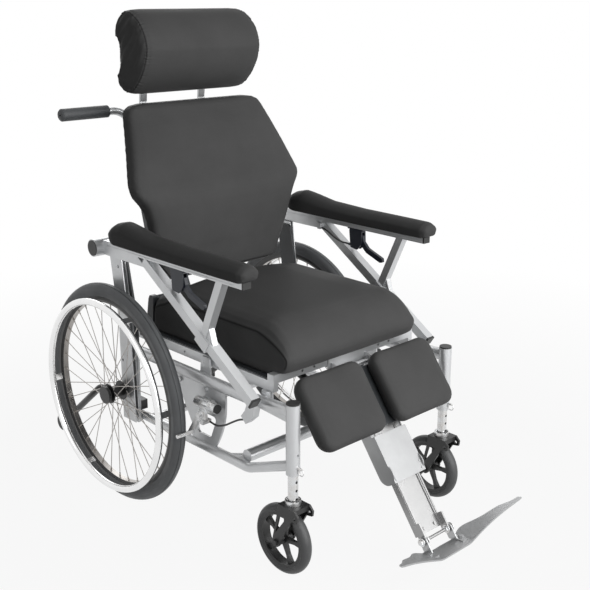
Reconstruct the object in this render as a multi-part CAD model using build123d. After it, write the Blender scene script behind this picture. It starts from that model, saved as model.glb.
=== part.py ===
from build123d import *
from math import sin, cos, tan, radians, degrees, sqrt, atan2
import os

# A wheelchair whose seat tilts in space and whose back reclines.
# Millimetres, +Z up, the floor at z = 0, the chair faces -Y, its left side is +X.
# Each side piece is made on the left and mirrored to the right.

# ---- where things stand along the chair -------------------------------------
AXLE_Y = 253.4            # rear axle, measured from the middle of the chair's length
CASTER_AXIS_Y = AXLE_Y - 640.0
TILT_Y = AXLE_Y - 300.0
RECLINE_Y = AXLE_Y - 2.0
SEAT_FRONT_Y = AXLE_Y - 545.0
SEAT_REAR_Y = AXLE_Y - 40.0

# ---- rear wheels -------------------------------------------------------------
WHEEL_R = 305.0
WHEEL_X = 343.4           # tyre centre plane
TYRE_W = 35.0
TYRE_H = 34.0             # from the rim's seat to the tread
RIM_R = WHEEL_R - TYRE_H
RIM_W = 25.0
RIM_DEPTH = 17.0
GROOVE_W = 1.8
GROOVE_DEPTH = 1.4
GROOVE_STEP = 6.0
SPOKES = 36
SPOKE_R = 1.1
SPOKE_SWEEP = 52.0        # degrees that a crossed spoke leads or trails
HUB_R = 15.0
HUB_FLANGE_R = 27.0
HUB_FLANGE_T = 3.0
HUB_IN_X = 320.0
HUB_OUT_X = 370.0
HUB_CAP_R = 24.0
HUB_CAP_L = 8.5
AXLE_R = 6.0
RUNNING_FIT = 0.05        # radial clearance of a shaft in its bore
HANDRIM_DROP = 9.8        # the handrim's ring is this much smaller than the rim
HANDRIM_R = RIM_R - HANDRIM_DROP
HANDRIM_TUBE_R = 9.5
HANDRIM_X = 385.5
HANDRIM_TABS = 6
TAB_W = 18.0
TAB_T = 3.0

# ---- casters -----------------------------------------------------------------
CASTER_X = 278.5
CASTER_R = 89.0
CASTER_W = 34.0
CASTER_TRAIL = 32.0
CASTER_TYRE_H = 19.0
CASTER_RIM_R = CASTER_R - CASTER_TYRE_H
CASTER_SPOKES = 5
CASTER_GAP = 3.5          # crown over tyre
FORK_T = 5.5
FORK_IN = 21.5            # half the room between the legs
CROWN_T = 13.0
COLLAR_R = 19.5
COLLAR_H = 11.0
STEM_R = 12.5
STEM_WALL = 2.0
STEM_HOLE_R = 3.5
PIN_HOLE_R = 3.0
FORK_BOLT_R = 5.0
HOUSING_R = 17.0
HOUSING_BOTTOM_Z = 272.0
HOUSING_TOP_Z = 448.0
BUSH_CLEARANCE = 0.3

# ---- base frame --------------------------------------------------------------
RAIL_X = 277.0
RAIL_R = 15.0
RAIL_Z = 415.0
LOWER_R = 12.5
LOWER_Z = 229.0
LOWER_FRONT_Z = 292.0
TUBE_WALL = 2.0
SIDE_PLATE_T = 6.0
CROSS_R = 16.0
AXLE_PLATE_T = 6.0
UPRIGHT_W = 14.0          # across the chair
UPRIGHT_WALL = 3.0
UPRIGHT_TOP_Z = 684.0
POST_X = 250.0
POST_R = 14.0
POST_TOP_Z = 439.6
LUG_T = 6.0
BOLT_R = 4.0
HEX_R = 7.5
HEX_T = 5.5

# ---- arm frames ----------------------------------------------------------------
ARM_X = 318.0
ARM_W = 24.0
BEAM_TOP_Z = 722.0
BEAM_H = 16.0
BEAM_FRONT_Y = AXLE_Y - 526.0
BEAM_REAR_Y = AXLE_Y + 40.0
DEEP_BEAM_H = 38.0
BOSS_R = 23.5
BOSS_Z = 701.0
BOSS_Y = AXLE_Y + 58.0
BOSS_IN_X = 300.0
BOSS_OUT_X = 352.0
STRUT = 25.0
PAD_Z = BEAM_TOP_Z + 0.3

# ---- seat ----------------------------------------------------------------------
SEAT_RAIL_X = 237.0       # inner face of the seat's side rail
SEAT_RAIL_W = 15.0
SEAT_RAIL_Z = 440.0
SEAT_RAIL_H = 26.0
SEAT_WALL = 2.5
FRONT_RAIL_T = 22.0
FRONT_RAIL_Z = 461.0
FRONT_RAIL_H = 22.0
RAIL_HOLE_R = 3.2
PAN_T = 3.0
CUSHION_X = 234.0
CUSHION_Z = 469.4
CUSHION_H = 136.0
CUSHION_FRONT_Y = AXLE_Y - 579.0
CUSHION_REAR_Y = AXLE_Y - 30.0
TILT_Z = 453.0
PIN_R = 6.0

# ---- back ----------------------------------------------------------------------
BACK_LEAN = 14.6          # degrees
BACK_Y = AXLE_Y + 0.0     # back of the cushion, at height BACK_Z
BACK_Z = 600.0
BACK_T = 51.0
SHELL_T = 4.0
CANE_X = 166.0
CANE_W = 24.0
HINGE_X = 222.0           # plates that carry the back on the seat
CANE_D = 26.0
HANDLE_X = 138.0
HANDLE_R = 11.0
HANDLE_BEND_R = 60.0
HANDLE_TURN = 90.0        # degrees; the left handle is swung to the rear, the right one out
GRIP_R = 17.0
GRIP_L = 145.0
GRIP_IN_X = 213.0
GRIP_Z = 1041.0
GRIP_RINGS = 12
GRIP_RING_STEP = 10.5
HEAD_BAR_X = 102.0
HEAD_BAR_W = 22.0
HEAD_BAR_T = 6.0

# ---- leg rest --------------------------------------------------------------------
LEG_LEAN = 36.5           # degrees forward of straight down
LEG_Y = AXLE_Y - 574.0    # a point on the line of the slide's front face
LEG_Z = 456.0
LEG_PIN_BACK = 12.0       # the pin lies this far behind that line
CHANNEL_X = 57.0
CHANNEL_T = 3.0
CHANNEL_L = 308.0
CHANNEL_D = 46.0
SLIDE_X = 43.0
SLIDE_D = 20.0
SLIDE_FROM = 120.0
SLIDE_TO = 446.0
COVER_FROM = 186.0        # the channel's front plate starts below the calf pads
CALF_X0 = 18.0
CALF_W = 222.0
CALF_H = 194.0
CALF_TOP = -10.0
CALF_T = 50.0
CHEEK_IN = 9.5            # from the leg rest's pin to the cheek's upper corner, inside the pads' swing
FOOT_PIN = 459.0          # down the leg from its upper end
FOOT_PIN_OUT = 5.0
FOOT_DOWN = 494.0
FOOT_SLOPE = 8.0          # degrees that the footplate's front is raised
WING_RISE = 20.0          # degrees that its wings are raised
PLATE_T = 4.0

TUBE_CLEAR = 0.3          # clearance between bodies that pass each other

nodes = {}


# ---- small helpers ---------------------------------------------------------------
def box(x0, x1, y0, y1, z0, z1):
    size = (abs(x1 - x0), abs(y1 - y0), abs(z1 - z0))
    return Pos((x0 + x1) / 2, (y0 + y1) / 2, (z0 + z1) / 2) * Box(*size)


def rod(start, end, radius):
    run = Vector(end) - Vector(start)
    place = Plane(origin=start, z_dir=run)
    return place * Cylinder(radius, run.length, align=(Align.CENTER, Align.CENTER, Align.MIN))


def across(x0, x1, y, z, radius):
    """Round bar along X."""
    return rod((x0, y, z), (x1, y, z), radius)


def pipe(start, end, radius, wall):
    return rod(start, end, radius) - rod(start, end, radius - wall)


def bent_tube(points, bends, radius, wall=None):
    path = FilletPolyline(*points, radius=bends)
    section = Plane(origin=points[0], z_dir=Vector(points[1]) - Vector(points[0]))
    tube = sweep(section * Circle(radius), path=path)
    if wall:
        tube -= sweep(section * Circle(radius - wall), path=path)
    return tube


def side_plane(x):
    """Local x is the chair's +Y, local y is up."""
    return Plane(origin=(x, 0, 0), x_dir=(0, 1, 0), z_dir=(1, 0, 0))


def side_plate(points, x0, x1):
    face = side_plane(min(x0, x1)) * make_face(Polyline(*points, close=True))
    return extrude(face, amount=abs(x1 - x0), dir=(1, 0, 0))


def rounded_plate(points, radius, x0, x1):
    outline = FilletPolyline(*points, radius=radius, close=True)
    face = side_plane(min(x0, x1)) * make_face(outline)
    return extrude(face, amount=abs(x1 - x0), dir=(1, 0, 0))


def leaning_plane(y, z, angle):
    """Local x is +X, local y runs up the lean, the normal points to the front."""
    return Plane(origin=(0, y, z), x_dir=(1, 0, 0), z_dir=(0, -cos(radians(angle)), sin(radians(angle))))


def turned(profile, x, y, z):
    """A ring turned about the line along X through (x, y, z); profile is (across, radius)."""
    place = Plane(origin=(x, y, z), x_dir=(1, 0, 0), z_dir=(0, -1, 0))
    return revolve(place * make_face(profile), axis=Axis((x, y, z), (1, 0, 0)))


def hex_bolt(x, y, z, direction=1):
    """Bolt head on a face that looks along X."""
    place = Plane(origin=(x, y, z), x_dir=(0, 1, 0), z_dir=(direction, 0, 0))
    return extrude(place * RegularPolygon(HEX_R, 6), amount=HEX_T)


def both_sides(name, shape):
    nodes[name + "_left"] = shape
    nodes[name + "_right"] = mirror(shape, about=Plane.YZ)


# ---- rear wheel --------------------------------------------------------------------
def rear_tyre():
    half = TYRE_W / 2
    seat = RIM_W / 2
    shoulder = WHEEL_R - half
    wall = Polyline((half, shoulder), (seat, RIM_R), (-seat, RIM_R), (-half, shoulder))
    tread = ThreePointArc((-half, shoulder), (0, WHEEL_R), (half, shoulder))
    tyre = turned(wall + tread, WHEEL_X, AXLE_Y, WHEEL_R)
    for place in (-GROOVE_STEP, GROOVE_STEP):
        depth = WHEEL_R - half + sqrt(half**2 - place**2) - GROOVE_DEPTH
        groove = Pos(place, depth + 5) * Rectangle(GROOVE_W, 10)
        plane = Plane(origin=(WHEEL_X, AXLE_Y, WHEEL_R), x_dir=(1, 0, 0), z_dir=(0, -1, 0))
        axis = Axis((WHEEL_X, AXLE_Y, WHEEL_R), (1, 0, 0))
        tyre -= revolve(plane * groove, axis=axis)
    return tyre


def rear_rim():
    half = RIM_W / 2
    lip = 3.0
    inner = RIM_R - RIM_DEPTH
    profile = Polyline(
        (half, RIM_R), (half, RIM_R - 9), (half - 5, inner), (5 - half, inner), (-half, RIM_R - 9),
        (-half, RIM_R), (lip - half, RIM_R), (lip + 3 - half, inner + lip), (half - lip - 3, inner + lip),
        (half - lip, RIM_R), close=True)
    wheel = turned(profile, WHEEL_X, AXLE_Y, WHEEL_R)
    flange_in = WHEEL_X - 19
    flange_out = WHEEL_X + 19
    hub = rod((HUB_IN_X, AXLE_Y, WHEEL_R), (HUB_OUT_X, AXLE_Y, WHEEL_R), HUB_R)
    hub += rod((HUB_OUT_X, AXLE_Y, WHEEL_R), (HUB_OUT_X + HUB_CAP_L, AXLE_Y, WHEEL_R), HUB_CAP_R)
    for centre in (flange_in, flange_out):
        hub += rod((centre - HUB_FLANGE_T / 2, AXLE_Y, WHEEL_R),
                   (centre + HUB_FLANGE_T / 2, AXLE_Y, WHEEL_R), HUB_FLANGE_R)
    spokes = []
    for number in range(SPOKES):
        rim_angle = radians(360 / SPOKES * number)
        sweep_way = 1 if number % 4 < 2 else -1
        hub_angle = rim_angle - radians(SPOKE_SWEEP) * sweep_way
        flange = flange_in if number % 2 else flange_out
        start_r = HUB_FLANGE_R - 2.5
        start = (flange, AXLE_Y + start_r * cos(hub_angle), WHEEL_R + start_r * sin(hub_angle))
        end_r = inner + 1.2
        end = (WHEEL_X, AXLE_Y + end_r * cos(rim_angle), WHEEL_R + end_r * sin(rim_angle))
        spokes.append(rod(start, end, SPOKE_R))
    wheel = wheel.fuse(hub, *spokes)
    bore = rod((HUB_IN_X - 1, AXLE_Y, WHEEL_R), (HUB_OUT_X - 4, AXLE_Y, WHEEL_R), AXLE_R + RUNNING_FIT)
    return wheel - bore


def handrim():
    place = Plane(origin=(HANDRIM_X, AXLE_Y, WHEEL_R), x_dir=(0, 1, 0), z_dir=(1, 0, 0))
    ring = place * Torus(HANDRIM_R, HANDRIM_TUBE_R)
    rim_face = WHEEL_X + RIM_W / 2
    tabs = []
    for number in range(HANDRIM_TABS):
        turn = Rot(360 / HANDRIM_TABS * number + 25, 0, 0)
        tab = box(rim_face, HANDRIM_X - HANDRIM_TUBE_R + 3, -TAB_W / 2, TAB_W / 2, RIM_R - 9 - TAB_T, RIM_R - 9)
        tabs.append(Pos(0, AXLE_Y, WHEEL_R) * turn * tab)
    return ring.fuse(*tabs)


# ---- caster ----------------------------------------------------------------------------
def caster_stem():
    crown_top = 2 * CASTER_R + CASTER_GAP + CROWN_T
    foot = (CASTER_X, CASTER_AXIS_Y, crown_top + TUBE_CLEAR)
    rim = (CASTER_X, CASTER_AXIS_Y, crown_top + TUBE_CLEAR + COLLAR_H)
    top = (CASTER_X, CASTER_AXIS_Y, HOUSING_TOP_Z - 30)
    stem = rod(foot, top, STEM_R)
    cup = rod(foot, rim, COLLAR_R) - rod((foot[0], foot[1], foot[2] + 4), rim, COLLAR_R - 2.5)
    stem += cup
    stem -= rod((foot[0], foot[1], foot[2] + 4), top, STEM_R - STEM_WALL)
    for level in range(3):
        z = HOUSING_BOTTOM_Z - 18 - 22 * level
        stem -= rod((CASTER_X, CASTER_AXIS_Y - 30, z), (CASTER_X, CASTER_AXIS_Y + 30, z), STEM_HOLE_R)
    stem -= rod((foot[0], foot[1], foot[2] - 1), (foot[0], foot[1], foot[2] + 8), FORK_BOLT_R + RUNNING_FIT)
    pin_z = HOUSING_BOTTOM_Z + 20
    pin_front = CASTER_AXIS_Y - HOUSING_R - 12
    pin = rod((CASTER_X, pin_front, pin_z), (CASTER_X, CASTER_AXIS_Y + HOUSING_R + 3, pin_z), PIN_HOLE_R)
    ring_place = Plane(origin=(CASTER_X, pin_front + 1.8, pin_z - 8), x_dir=(0, 1, 0), z_dir=(1, 0, 0))
    return stem.fuse(pin, ring_place * Torus(8, 1.3))


def caster_housing():
    low = (CASTER_X, CASTER_AXIS_Y, HOUSING_BOTTOM_Z)
    high = (CASTER_X, CASTER_AXIS_Y, HOUSING_TOP_Z)
    housing = rod(low, high, HOUSING_R)
    housing -= rod(low, high, STEM_R + BUSH_CLEARANCE)
    for z in (HOUSING_BOTTOM_Z + 20, HOUSING_BOTTOM_Z + 52):
        front = (CASTER_X, CASTER_AXIS_Y - HOUSING_R - 1, z)
        housing -= rod(front, (CASTER_X, CASTER_AXIS_Y + HOUSING_R + 1, z), PIN_HOLE_R)
    return housing


def fork_leg(x0, x1, y, z):
    top = 2 * CASTER_R + CASTER_GAP + CROWN_T
    front = CASTER_AXIS_Y - 36
    rear = CASTER_AXIS_Y + 25
    eye = 12.5
    leg = side_plate([
        (front + 4, top), (front - 8, top - 12), (front - 6, top - 26), (front + 14, top - 30),
        (y - eye, z + 3), (y + eye, z + 3), (rear + 4, top - 34), (rear, top)], x0, x1)
    leg += rod((x0, y, z), (x1, y, z), eye)
    window = side_plate([
        (CASTER_AXIS_Y - 2, top - 31), (CASTER_AXIS_Y + 20, top - 31), (y + 1.5, z + 25)], x0 - 1, x1 + 1)
    lobe = rod((x0 - 1, front + 4, top - 18), (x1 + 1, front + 4, top - 18), 4.5)
    return leg - window - lobe


def caster_fork():
    y = CASTER_AXIS_Y + CASTER_TRAIL
    under = 2 * CASTER_R + CASTER_GAP
    outer = FORK_IN + FORK_T
    crown = box(CASTER_X - outer, CASTER_X + outer, CASTER_AXIS_Y - 32, CASTER_AXIS_Y + 25, under, under + CROWN_T)
    fork = crown.fuse(
        fork_leg(CASTER_X - outer, CASTER_X - FORK_IN, y, CASTER_R),
        fork_leg(CASTER_X + FORK_IN, CASTER_X + outer, y, CASTER_R))
    axle = (CASTER_X - outer - 3, y, CASTER_R), (CASTER_X + outer + 3, y, CASTER_R)
    fork += rod(*axle, AXLE_R - 2)
    crown_top = under + CROWN_T
    fork += rod((CASTER_X, CASTER_AXIS_Y, crown_top - 2), (CASTER_X, CASTER_AXIS_Y, crown_top + 14), FORK_BOLT_R)
    head = Plane(origin=(CASTER_X, CASTER_AXIS_Y, crown_top + 6), z_dir=(0, 0, 1))
    fork += extrude(head * RegularPolygon(8, 6), amount=7)
    for side in (-1, 1):
        face = CASTER_X + side * outer
        fork += hex_bolt(face, y, CASTER_R, side)
    return fork


def caster_core():
    y = CASTER_AXIS_Y + CASTER_TRAIL
    half = CASTER_W / 2 - 5
    rim = turned(Polyline((-half, CASTER_RIM_R), (-half, CASTER_RIM_R - 7), (half, CASTER_RIM_R - 7),
                          (half, CASTER_RIM_R), close=True), CASTER_X, y, CASTER_R)
    hub_half = FORK_IN - TUBE_CLEAR
    hub = rod((CASTER_X - hub_half, y, CASTER_R), (CASTER_X + hub_half, y, CASTER_R), 11)
    spokes = []
    for number in range(CASTER_SPOKES):
        spoke = side_plate([(-7, 8), (-4, 40), (-8, CASTER_RIM_R - 6), (8, CASTER_RIM_R - 6), (4, 40), (7, 8)], -5, 5)
        spokes.append(Pos(CASTER_X, y, CASTER_R) * Rot(360 / CASTER_SPOKES * number + 12, 0, 0) * spoke)
    core = rim.fuse(hub, *spokes)
    return core - rod((CASTER_X - 30, y, CASTER_R), (CASTER_X + 30, y, CASTER_R), AXLE_R - 2 + RUNNING_FIT)


def caster_tyre():
    y = CASTER_AXIS_Y + CASTER_TRAIL
    half = CASTER_W / 2
    seat = half - 5
    shoulder = CASTER_R - 12
    wall = Polyline((half, shoulder), (seat, CASTER_RIM_R), (-seat, CASTER_RIM_R), (-half, shoulder))
    tread = ThreePointArc((-half, shoulder), (0, CASTER_R), (half, shoulder))
    return turned(wall + tread, CASTER_X, y, CASTER_R)


# ---- base frame ------------------------------------------------------------------------
def base_side():
    """Upper and lower rails, curved plate, seat post and tilt lug, one weldment."""
    rear = AXLE_Y + 20
    inside = CASTER_AXIS_Y + 4
    upper_path = [(RAIL_X, rear, RAIL_Z), (RAIL_X, AXLE_Y - 470, RAIL_Z), (CASTER_X, inside, RAIL_Z + 13)]
    lower_path = [(RAIL_X, rear, LOWER_Z), (RAIL_X, AXLE_Y - 480, LOWER_Z), (CASTER_X, inside, LOWER_FRONT_Z)]
    upper = bent_tube(upper_path, 90, RAIL_R, TUBE_WALL)
    lower = bent_tube(lower_path, 60, LOWER_R, TUBE_WALL)
    x0 = RAIL_X - SIDE_PLATE_T / 2
    x1 = RAIL_X + SIDE_PLATE_T / 2
    top = RAIL_Z - RAIL_R + 1.5
    low = LOWER_Z + LOWER_R - 1.5
    back = AXLE_Y - 196
    front = AXLE_Y - 396
    edge = Polyline((front, top), (back, top), (back - 8, top - 30), (AXLE_Y - 258, low + 40), (AXLE_Y - 258, low),
                    (AXLE_Y - 352, low))
    bow = ThreePointArc((AXLE_Y - 352, low), (AXLE_Y - 388, low + 72), (front, top))
    curved = extrude(side_plane(x0) * make_face(edge + bow), amount=SIDE_PLATE_T, dir=(1, 0, 0))
    window_low = low + 22
    window = FilletPolyline((AXLE_Y - 282, window_low), (AXLE_Y - 336, window_low), (AXLE_Y - 362, window_low + 62),
                            (AXLE_Y - 282, window_low + 62), radius=9, close=True)
    curved -= extrude(side_plane(x0 - 1) * make_face(window), amount=SIDE_PLATE_T + 2, dir=(1, 0, 0))
    for y in (back - 19, AXLE_Y - 320):
        curved += hex_bolt(x1, y, top - 12)
    post = rod((POST_X, AXLE_Y - 521, RAIL_Z - 6), (POST_X, AXLE_Y - 521, POST_TOP_Z), POST_R)
    foot = box(POST_X - 5, RAIL_X - 6, AXLE_Y - 532, AXLE_Y - 510, RAIL_Z - 9, RAIL_Z + 3)
    lug = rounded_plate([(TILT_Y - 22, RAIL_Z - 14), (TILT_Y + 22, RAIL_Z - 14), (TILT_Y + 15, TILT_Z + 15),
                         (TILT_Y - 15, TILT_Z + 15)], 6, RAIL_X - RAIL_R - LUG_T + 3, RAIL_X - RAIL_R + 3)
    gusset = side_plate([(AXLE_Y - 528, RAIL_Z - 5), (AXLE_Y - 528, RAIL_Z + 12), (CASTER_AXIS_Y + 4, RAIL_Z + 22),
                         (CASTER_AXIS_Y + 4, RAIL_Z - 12)], RAIL_X + RAIL_R - 6, RAIL_X + RAIL_R - 2)
    tab = side_plate([(AXLE_Y - 500, 395), (AXLE_Y - 486, 378), (AXLE_Y - 503, 362), (AXLE_Y - 528, 384),
                      (AXLE_Y - 540, 430), (AXLE_Y - 515, 432)], RAIL_X + 8, ARM_X - STRUT / 2)
    side = upper.fuse(lower, curved, post, foot, lug, gusset, tab, ferrule(BRAKE_CABLE[-1], BRAKE_CABLE[-2]))
    side -= rod((CASTER_X, CASTER_AXIS_Y, 200), (CASTER_X, CASTER_AXIS_Y, 500), HOUSING_R)
    side -= rod((RAIL_X - RAIL_R - 20, TILT_Y, TILT_Z), (RAIL_X, TILT_Y, TILT_Z), PIN_R + RUNNING_FIT)
    return side


def axle_plate():
    """Plate with a row of axle holes and a stay up the upright, the axle sleeve and the fixed axle."""
    x0 = RAIL_X + RAIL_R
    x1 = x0 + AXLE_PLATE_T
    plate = rounded_plate([(AXLE_Y - 44, LOWER_Z - 16), (AXLE_Y + 24, LOWER_Z - 16), (AXLE_Y + 24, RAIL_Z + 18),
                           (AXLE_Y + 10, 500), (AXLE_Y + 34, 676), (AXLE_Y - 18, 676), (AXLE_Y - 42, 560),
                           (AXLE_Y - 52, 468), (AXLE_Y - 50, RAIL_Z + 8)], 8, x0, x1)
    for level in (-2, -1, 1, 2):
        z = WHEEL_R + level * 30
        plate -= rod((x0 - 1, AXLE_Y, z), (x1 + 1, AXLE_Y, z), AXLE_R + 1)
    sleeve = rod((x0 - 14, AXLE_Y, WHEEL_R), (HUB_IN_X - TUBE_CLEAR, AXLE_Y, WHEEL_R), 14)
    axle = rod((x0 - 14, AXLE_Y, WHEEL_R), (HUB_OUT_X - 6, AXLE_Y, WHEEL_R), AXLE_R)
    nut = hex_bolt(x0 - 14, AXLE_Y, WHEEL_R, -1)
    saddles = []
    for z, radius in ((RAIL_Z, RAIL_R), (LOWER_Z, LOWER_R)):
        saddle = box(x0 - 9, x0, AXLE_Y - 40, AXLE_Y + 18, z - radius + 1, z + radius - 1)
        saddles.append(saddle - rod((RAIL_X, AXLE_Y - 80, z), (RAIL_X, AXLE_Y + 60, z), radius))
    return plate.fuse(sleeve, axle, nut, *saddles)


def upright():
    """Pressed channel, open to the front, from the axle plate up to the arm beam."""
    x0 = RAIL_X + RAIL_R + AXLE_PLATE_T
    x1 = x0 + UPRIGHT_W
    low = LOWER_Z - 10
    back = [(AXLE_Y + 12, low), (AXLE_Y + 12, 500), (AXLE_Y + 39, UPRIGHT_TOP_Z)]
    front = [(AXLE_Y - 14, UPRIGHT_TOP_Z), (AXLE_Y - 28, 560), (AXLE_Y - 40, 470), (AXLE_Y - 46, low)]
    channel = side_plate(back + front, x0, x1)
    inset = UPRIGHT_WALL
    hollow_back = [(AXLE_Y + 12 - inset, low - 5), (AXLE_Y + 12 - inset, 500),
                   (AXLE_Y + 39.7 - inset, UPRIGHT_TOP_Z + 5)]
    hollow_front = [(AXLE_Y - 90, UPRIGHT_TOP_Z + 5), (AXLE_Y - 90, low - 5)]
    channel -= side_plate(hollow_back + hollow_front, x0 + inset, x1 - inset)
    channel -= rod((x0 - 1, AXLE_Y, WHEEL_R), (x1 + 1, AXLE_Y, WHEEL_R), 14.2)
    for z in (WHEEL_R + 85, UPRIGHT_TOP_Z - 30):
        channel -= rod((x1 - 8, AXLE_Y + 2, z), (x1 + 1, AXLE_Y + 2, z), BOLT_R)
    return channel


def cross_tubes():
    """Front tube with closed ends, gussets and the spring's ears, and the rear tube."""
    reach = RAIL_X - LOWER_R + 2
    front_y = AXLE_Y - 462
    rear_y = AXLE_Y - 70
    front = pipe((-reach, front_y, LOWER_Z + 22), (reach, front_y, LOWER_Z + 22), CROSS_R, TUBE_WALL)
    for side in (-1, 1):
        front += rod((side * (reach - 3), front_y, LOWER_Z + 22), (side * reach, front_y, LOWER_Z + 22), CROSS_R)
        gusset = Polyline((side * (RAIL_X - 5), front_y + 8), (side * (RAIL_X - 5), front_y + 62),
                          (side * (RAIL_X - 60), front_y + 8), close=True)
        sheet = extrude(Plane.XY.offset(LOWER_Z + 7) * make_face(gusset), amount=3)
        for x, y in ((RAIL_X - 20, front_y + 19), (RAIL_X - 20, front_y + 35), (RAIL_X - 34, front_y + 19)):
            sheet -= rod((side * x, y, LOWER_Z), (side * x, y, LOWER_Z + 20), 4)
        front += sheet
    rear = pipe((-reach, rear_y, LOWER_Z), (reach, rear_y, LOWER_Z), LOWER_R, TUBE_WALL)
    solids = []
    for tube in (front, rear):
        for side in (-1, 1):
            x = side * RAIL_X
            tube -= rod((x, AXLE_Y + 30, LOWER_Z), (x, AXLE_Y - 520, LOWER_Z), LOWER_R)
        solids.append(tube)
    ear = rounded_plate([(front_y + 8, SPRING_BASE_Z - 22), (SPRING_BASE_Y + 8, SPRING_BASE_Z - 9),
                         (SPRING_BASE_Y + 8, SPRING_BASE_Z + 8), (front_y + 2, SPRING_BASE_Z + 4)], 3, 0, 5)
    ear_xs = (TILT_SPRING_X - SPRING_EYE_W / 2 - 5.3, TILT_SPRING_X + SPRING_EYE_W / 2 + 0.3)
    ears = [Pos(x, 0, 0) * ear for x in ear_xs]
    pin = rod((TILT_SPRING_X - 13, SPRING_BASE_Y, SPRING_BASE_Z), (TILT_SPRING_X + 13, SPRING_BASE_Y, SPRING_BASE_Z),
              SPRING_PIN_R)
    front_fused = solids[0].fuse(*ears)
    front_fused -= rod((TILT_SPRING_X - 20, front_y, LOWER_Z + 22), (TILT_SPRING_X + 20, front_y, LOWER_Z + 22),
                       CROSS_R - TUBE_WALL)
    front_fused = front_fused.fuse(pin)
    return Compound(children=[front_fused, solids[1]])


# ---- gas springs -----------------------------------------------------------------------
TILT_SPRING_X = 70.0
RECLINE_SPRING_X = -70.0
SPRING_R = 11.0
SPRING_ROD_R = 4.5
SPRING_PIN_R = 4.0
SPRING_EYE_R = 10.0
SPRING_EYE_W = 11.0
SPRING_NECK = 16.0        # from the pin to the start of the cylinder
SPRING_BASE_Y = AXLE_Y - 439.0
SPRING_BASE_Z = 267.0
TILT_SPRING_TOP_Y = AXLE_Y - 92.0
TILT_SPRING_TOP_Z = 428.0
RECLINE_SPRING_FRONT_Y = AXLE_Y - 405.0
RECLINE_SPRING_FRONT_Z = 424.0
RECLINE_ARM_Y = RECLINE_Y - 12.0
RECLINE_ARM_Z = TILT_Z - 48.0
OPEN_PIVOT = 2.2          # clearance round the pin at each open pivot


def spring_cylinder(x, start, end, length):
    start = Vector(x, *start)
    end = Vector(x, *end)
    along = (end - start).normalized()
    cylinder = rod(tuple(start + along * SPRING_NECK), tuple(start + along * length), SPRING_R)
    cylinder += rod(tuple(start + along * (SPRING_EYE_R - 2)), tuple(start + along * (SPRING_NECK + 1)), SPRING_ROD_R)
    cylinder += rod((x - SPRING_EYE_W / 2, start.Y, start.Z), (x + SPRING_EYE_W / 2, start.Y, start.Z), SPRING_EYE_R)
    cylinder -= rod((x - 20, start.Y, start.Z), (x + 20, start.Y, start.Z), SPRING_PIN_R + RUNNING_FIT)
    bore_start = start + along * (SPRING_NECK + 6)
    cylinder -= rod(tuple(bore_start), tuple(start + along * (length + 1)), SPRING_ROD_R + RUNNING_FIT)
    return cylinder


def spring_rod(x, start, end, hidden):
    """The rod, from inside the cylinder to its eye round the open pivot."""
    start = Vector(x, *start)
    end = Vector(x, *end)
    along = (end - start).normalized()
    bar = rod(tuple(start + along * hidden), tuple(end - along * (SPRING_EYE_R - 1.5)), SPRING_ROD_R)
    bar += rod((x - SPRING_EYE_W / 2, end.Y, end.Z), (x + SPRING_EYE_W / 2, end.Y, end.Z), SPRING_EYE_R)
    return bar - rod((x - 20, end.Y, end.Z), (x + 20, end.Y, end.Z), SPRING_PIN_R + OPEN_PIVOT)


# ---- arm frames --------------------------------------------------------------------------
def square_bar(start, end, x0, x1, width):
    run = Vector(0, end[0] - start[0], end[1] - start[1])
    normal = Vector(0, -run.Z, run.Y).normalized() * (width / 2)
    a = (start[0] + normal.Y, start[1] + normal.Z)
    b = (end[0] + normal.Y, end[1] + normal.Z)
    c = (end[0] - normal.Y, end[1] - normal.Z)
    d = (start[0] - normal.Y, start[1] - normal.Z)
    return side_plate([a, b, c, d], x0, x1)


DIAG_TOP = (AXLE_Y - 142.0, 700.0)
DIAG_LOW = (AXLE_Y - 549.0, 436.0)
FRONT_TOP = (AXLE_Y - 446.0, 712.0)
KNEE = (AXLE_Y - 372.0, 548.0)


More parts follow.
